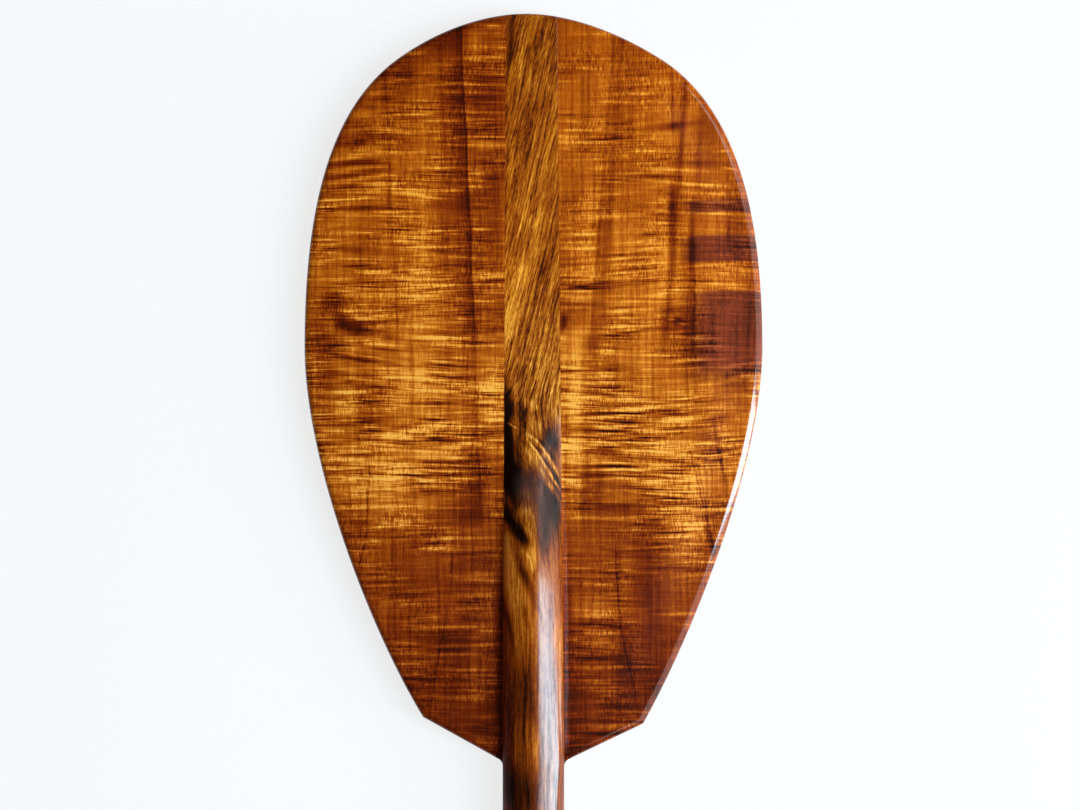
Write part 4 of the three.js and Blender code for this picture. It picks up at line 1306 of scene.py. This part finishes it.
def wing_material(side, finish):
    """Curly hardwood of a blade wing, with the marks of its own board, under clear gloss."""
    left = side is LEFT
    material = bpy.data.materials.new("curly_wood_" + side["name"])
    bench = Bench(material)
    seed = 3.0 if left else 8.0
    place = bench.place()
    wavy = bench.moved(place, *WING_WIDE_WANDER, seed, 0.0)
    bent = bench.moved(place, *WING_WANDER, seed + 1)
    rough = bench.moved(bent, *WING_MARK_WANDER, seed + 2)
    x, station = bench.split(bent)[:2]

    curl = bench.noise(wavy, CURL_WAVES, seed + 3, 2.0, 0.62)
    fine_curl = bench.noise(wavy, FINE_CURL_WAVES, seed + 4, 1.0)
    fibre = bench.noise(rough, WING_FIBRE_WAVES, seed + 5, 1.5, 0.65)
    growth_lines = bench.noise(bent, GROWTH_LINE_WAVES, seed + 6, 2.0, 0.62)
    patchy = bench.noise(place, PATCHY_WAVES, seed + 7, 1.0)

    tone = bench.profile(station, LEFT_TONE if left else RIGHT_TONE) * growth_bands(bench, x, station, left)
    patches = bench.marks(rough, LEFT_PATCHES if left else RIGHT_PATCHES, WING_PATCH_SPREAD, True, 1.0)
    tone = tone * patches.at_least(0.12)

    lines = bench.marks(rough, LEFT_LINES if left else RIGHT_LINES, WING_LINE_SPREAD, False)
    broken = fibre.times_plus(1.7, 0.15)
    bright = lines.at_least(0) * broken
    dark = lines.at_most(0)

    uneven = bench.step(patchy, 0.34, 0.66) * 0.95 + 0.38
    strong = uneven * bench.profile(station, LEFT_CURL if left else RIGHT_CURL) * finish.figure
    streaks = bench.step(curl, 0.55, 0.75) * broken * 0.6 + (curl - 0.5) * 1.8 + (fine_curl - 0.5) * 1.4
    figure = streaks * strong + bright + dark + 1
    fine = (fibre - 0.5) * uneven * (1.35 * finish.fibre)
    fibres = fine + (growth_lines - 0.5) * (1.25 - uneven * 0.5) + 1
    # Painted shade: the wood's tone is darkened in the inside corner beside the ridge and, towards the root,
    # in a wider band beside it, where shade falls. The corner's finish is also left dull.
    corner = beside_ridge(bench, place, side, *SHADED_CORNER_REACH_OUT)
    painted_shade_band = beside_ridge(bench, place, side, *PAINTED_SHADE_REACH_OUT) * bench.step(station, *PAINTED_SHADE_FADE_IN)
    tone = tone * figure.at_least(0.18) * fibres * (1 - corner * 0.12 - painted_shade_band * 0.15)

    colour = bench.ramp(tone, CURLY_COLOURS)
    colour = bench.blend_colours(1.0, colour, bench.tints(station, WING_TINTS), "MULTIPLY")
    if not left:
        colour = heartwood(bench, colour, rough, tone, finish)
    glossy_wood(bench, colour, fibre, 1 - corner * 0.96, finish.gloss_roughness, WING_RELIEF)
    return material


def beside_ridge(bench, place, side, near, far):
    """1 beside the shaft's ridge, in its inside corner, falling to 0 from the near to the far distance. It
    places painted shade there, and the dull finish of the corner.
    """
    x, station = bench.split(place)[:2]
    taper = (SHAFT_HALF_WIDTH - side["strip_at_tip"]) / BLADE_LENGTH
    out = x * side["sign"] - side["strip_at_tip"] - station * taper
    return (1 - bench.step(out, near, far)) * bench.step(station, *RIDGE_FADE_IN)


def heartwood(bench, colour, place, tone, finish):
    """Lays the sharp-edged purple-brown blocks over the right wing's outer edge."""
    x, station = bench.split(place)[:2]
    off_middle = x - HEART_MIDDLE
    level = station + off_middle * 0.04 - off_middle * off_middle * 0.0022
    blocks = 0
    for starts, ends, edge, strength in HEART_BLOCKS:
        along = bench.step(level, *starts) * (1 - bench.step(level, *ends))
        blocks = along * bench.step(x, *edge) * strength + blocks
    grain = (tone * 2.5 - 0.5).at_least(0.12).at_most(1.45)
    purple = {0: tuple(finish.purple), "Scale": grain}
    shade = bench.add("ShaderNodeVectorMath", {"operation": "SCALE"}, purple)
    return bench.blend_colours(blocks.at_most(1) * 0.92, colour, shade)


def stick_material(name, finish, seed, placed=True):
    """Streaked wood of the stick and of the grip. Only the stick's wood has placed marks on its front."""
    material = bpy.data.materials.new(name)
    bench = Bench(material)
    place = bench.place()
    x, station, height = bench.split(place)
    lean = bench.profile(station, STICK_LEAN) * STICK_LEAN_REACH
    leaned = bench.join(x + lean, station, height)
    wavy = bench.moved(leaned, *STICK_WANDER, seed)
    broad = bench.noise(wavy, STICK_BROAD_WAVES, seed + 1, 1.5, 0.6)
    streak = bench.noise(wavy, STICK_STREAK_WAVES, seed + 2, 2.0, 0.65)
    dash = bench.noise(wavy, STICK_DASH_WAVES, seed + 3, 1.0, 0.6)
    fibre = bench.noise(wavy, STICK_FIBRE_WAVES, seed + 4, 1.0, 0.6)
    tone = bench.profile(station, STICK_TONE)
    if placed:
        rough = bench.moved(place, *STICK_MARK_WANDER, seed + 5)
        near = bench.moved(place, *STICK_CRACK_WANDER, seed + 6)
        on_front = bench.step(height, *FRONT_HEIGHT)
        marks = bench.marks(rough, STICK_PATCHES, STICK_PATCH_SPREAD, True)
        marks = bench.marks(rough, STICK_LINES, STICK_LINE_SPREAD, False, marks)
        marks = bench.marks(near, STICK_CRACKS, CRACK_SPREAD, False, marks)
        tone = tone * (marks * on_front + 1).at_least(0.1)
    grain = (broad - 0.5) * 1.5 + (streak - 0.5) * 2.2 + (dash - 0.5) * 1.2 + (fibre - 0.5) * 1.2
    tone = tone * (grain * bench.profile(station, STICK_FIGURE) + 1).at_least(0.2)
    colour = bench.ramp(tone, STICK_COLOURS)
    colour = bench.blend_colours(1.0, colour, bench.tints(station, STICK_TINTS), "MULTIPLY")
    polish = bench.step(streak * 0.5 + dash * 0.5, 0.36, 0.54) * 0.4 + 0.6
    if placed:
        # Painted sheen: over the knot the dark wood's colour is mixed towards grey, where a soft reflection
        # lies
        painted_sheen = bench.marks(rough, STICK_PAINTED_SHEEN, PAINTED_SHEEN_SPREAD, True) * on_front
        colour = bench.blend_colours(painted_sheen.at_most(0.8), colour, (*finish.painted_sheen, 1))
        flank = (1 - bench.step(x, *TINTED_FLANK)) * bench.step(station, *FLANK_FADE_IN)
        colour = bench.blend_colours(flank, colour, FLANK_TINT, "MULTIPLY")
        polish = polish * (bench.step(x, *DULL_LEFT_FLANK) * 0.95 + 0.05)
        polish = polish * (1 - bench.step(x, *DULL_RIGHT_FLANK) * 0.5)
        polish = polish * (bench.step(station, *GLOSS_FADE_IN) * 0.5 + 0.5)
    glossy_wood(bench, colour, dash, polish, finish.stick_roughness, STICK_RELIEF)
    return material


def planed_material():
    """Bare planed wood of the hidden tongues."""
    material = bpy.data.materials.new("planed_tongue_wood")
    bench = Bench(material)
    place = bench.place()
    streak = bench.noise(place, PLANED_STREAK_WAVES, 21, 2.0, 0.6)
    pores = bench.noise(place, PLANED_PORE_WAVES, 22, 1.0)
    tone = (streak - 0.5) * 2.2 + (pores - 0.5) * 0.8 + 0.5
    colour = bench.ramp(tone, PLANED_COLOURS)
    bump = bench.add("ShaderNodeBump", {}, {"Strength": 0.2, "Distance": PORE_DEPTH, "Height": pores})
    surface = bench.add(
        "ShaderNodeBsdfPrincipled",
        {},
        {"Base Color": colour, "Roughness": pores.times_plus(0.3, 0.5), "Normal": bump},
    )
    bench.add("ShaderNodeOutputMaterial", {}, {"Surface": surface})
    return material


# Stage

def table_material():
    """A white table top: plain white to the eye and to reflections, with the paddle's soft shadow."""
    material = bpy.data.materials.new("white_table")
    bench = Bench(material)
    eye, glossy, through = bench.outputs("ShaderNodeLightPath", *RAYS)
    seen = eye + glossy + through
    matt = bench.add("ShaderNodeBsdfDiffuse", {}, {"Color": (0.8, 0.8, 0.8, 1)})
    white = bench.add("ShaderNodeEmission", {}, {"Color": (1, 1, 1, 1), "Strength": 1.0})
    both = bench.add("ShaderNodeMixShader", {}, {0: seen.at_most(1) * 0.8, 1: matt, 2: white})
    clear = bench.add("ShaderNodeBsdfTransparent", {}, {})
    under = bench.add("ShaderNodeNewGeometry", {}, {}, "Backfacing")
    surface = bench.add("ShaderNodeMixShader", {}, {0: under, 1: both, 2: clear})
    bench.add("ShaderNodeOutputMaterial", {}, {"Surface": surface})
    return material


def light_the_room(setting):
    """A pale wall low round the table, a dark ceiling over it, and even light on the object."""
    world = bpy.data.worlds.new("pale_room")
    bpy.context.scene.world = world
    bench = Bench(world)
    direction = bench.add("ShaderNodeTexCoord", {}, {}, "Generated")
    rise = bench.split(direction)[2]
    wall = 1 - bench.step(rise, 0.0, 0.16)
    eye, glossy, through = bench.outputs("ShaderNodeLightPath", *RAYS)
    mirrored = (glossy + through).at_most(1)
    unseen = mirrored * wall * 0.98 + mirrored * 0.01 + (1 - mirrored) * setting.room_level
    strength = eye + (1 - eye) * unseen
    back = bench.add("ShaderNodeBackground", {}, {"Color": (1, 1, 1, 1), "Strength": strength})
    bench.add("ShaderNodeOutputWorld", {}, {"Surface": back})


def add_lamp(name, tilt, swing, distance, size, power, colour, centre):
    """An area lamp that faces a point: tilted from overhead to the right, then swung about the vertical."""
    lamp = bpy.data.lights.new(name, "AREA")
    lamp.shape = "RECTANGLE"
    lamp.size_y, lamp.size = size
    lamp.energy = power
    lamp.color = colour
    thing = bpy.data.objects.new(name, lamp)
    a, s = math.radians(tilt), math.radians(swing)
    out = Vector((math.sin(a) * math.cos(s), math.sin(a) * math.sin(s), math.cos(a)))
    thing.location = centre + out * distance
    thing.rotation_mode = "QUATERNION"
    upwards = Vector((-math.cos(a) * math.cos(s), -math.cos(a) * math.sin(s), math.sin(a)))
    across = upwards.cross(out)
    thing.rotation_quaternion = Matrix((across, upwards, out)).transposed().to_quaternion()
    thing.visible_camera = False
    bpy.context.scene.collection.objects.link(thing)


def add_camera(setting):
    """The camera looks straight down on the blade, with the tip at the top of the picture."""
    camera = bpy.data.cameras.new("camera")
    camera.sensor_width = SENSOR_WIDTH
    camera.lens = SENSOR_WIDTH * setting.camera_height / setting.framed_width
    camera.clip_end = 50
    thing = bpy.data.objects.new("camera", camera)
    thing.location = at(*CAMERA_AIM) + Vector((0, 0, setting.camera_height))
    thing.rotation_mode = "QUATERNION"
    bpy.context.scene.collection.objects.link(thing)
    bpy.context.scene.camera = thing


# Operators

def fit(piece, node):
    """Puts a piece on the paddle's body in place of a CAD node."""
    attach(piece, "root")
    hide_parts(node)


class PADDLE_OT_wings(bpy.types.Operator):
    """Shapes the two curly boards of the blade and finishes them"""
    bl_idname = "paddle.wings"
    bl_label = "Blade wings"

    def execute(self, context):
        scene = context.scene
        for side in (LEFT, RIGHT):
            wing = make_wing(side, scene.paddle_blade, wing_material(side, scene.paddle_finish))
            fit(wing, side["name"] + "_blade_wing")
        return {"FINISHED"}


class PADDLE_OT_stick(bpy.types.Operator):
    """Shapes the stick that is both the shaft and the blade's centre strip"""
    bl_idname = "paddle.stick"
    bl_label = "Shaft and centre strip"

    def execute(self, context):
        scene = context.scene
        wood = stick_material("streaked_stick_wood", scene.paddle_finish, 13)
        stick = make_stick(scene.paddle_blade, wood)
        fit(stick, "shaft_and_centre_strip")
        return {"FINISHED"}


class PADDLE_OT_grip(bpy.types.Operator):
    """Shapes the palm grip at the shaft's far end"""
    bl_idname = "paddle.grip"
    bl_label = "Palm grip"

    def execute(self, context):
        finish = context.scene.paddle_finish
        grip = make_grip(stick_material("brown_grip_wood", finish, 31, placed=False))
        fit(grip, "palm_grip")
        return {"FINISHED"}


class PADDLE_OT_tongues(bpy.types.Operator):
    """Gives the hidden joint tongues their bare planed wood"""
    bl_idname = "paddle.tongues"
    bl_label = "Joint tongues"

    def execute(self, context):
        wood = planed_material()
        for side in (LEFT, RIGHT):
            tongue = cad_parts[side["name"] + "_joint_tongue"]
            for place in tongue.material_slots:
                place.material = wood
        return {"FINISHED"}


class PADDLE_OT_stage(bpy.types.Operator):
    """Sets the white table, the lights and the camera"""
    bl_idname = "paddle.stage"
    bl_label = "Table, light and camera"

    def execute(self, context):
        scene = context.scene
        setting = scene.paddle_stage
        bpy.ops.mesh.primitive_plane_add(size=TABLE_SIZE)
        table = context.object
        table.name = "table_top"
        table.data.materials.append(table_material())
        light_the_room(setting)
        for name, (tilt, swing, distance, size, power, colour) in LAMPS.items():
            add_lamp(name, tilt, swing, distance, size, getattr(setting, power), colour, at(*LIT_SPOT))
        add_camera(setting)
        scene.view_settings.view_transform = "Standard"
        return {"FINISHED"}


class PADDLE_PT_panel(bpy.types.Panel):
    bl_label = "Paddle"
    bl_idname = "PADDLE_PT_panel"
    bl_space_type = "VIEW_3D"
    bl_region_type = "UI"
    bl_category = "Paddle"

    def draw(self, context):
        scene = context.scene
        for group in (scene.paddle_blade, scene.paddle_finish, scene.paddle_stage):
            box = self.layout.box()
            for name in group.__annotations__:
                box.prop(group, name)
        for operator in OPERATORS:
            self.layout.operator(operator.bl_idname)


GROUPS = {"paddle_blade": BladeShape, "paddle_finish": WoodFinish, "paddle_stage": StageSetting}
OPERATORS = (PADDLE_OT_wings, PADDLE_OT_stick, PADDLE_OT_grip, PADDLE_OT_tongues, PADDLE_OT_stage)


def register():
    for kind in (*GROUPS.values(), *OPERATORS, PADDLE_PT_panel):
        bpy.utils.register_class(kind)
    for name, kind in GROUPS.items():
        setattr(bpy.types.Scene, name, bpy.props.PointerProperty(type=kind))


def unregister():
    for name in GROUPS:
        delattr(bpy.types.Scene, name)
    for kind in (PADDLE_PT_panel, *OPERATORS, *GROUPS.values()):
        bpy.utils.unregister_class(kind)


def main():
    register()
    for operator in ("wings", "stick", "grip", "tongues", "stage"):
        getattr(bpy.ops.paddle, operator)()


if __name__ == "__main__":
    main()
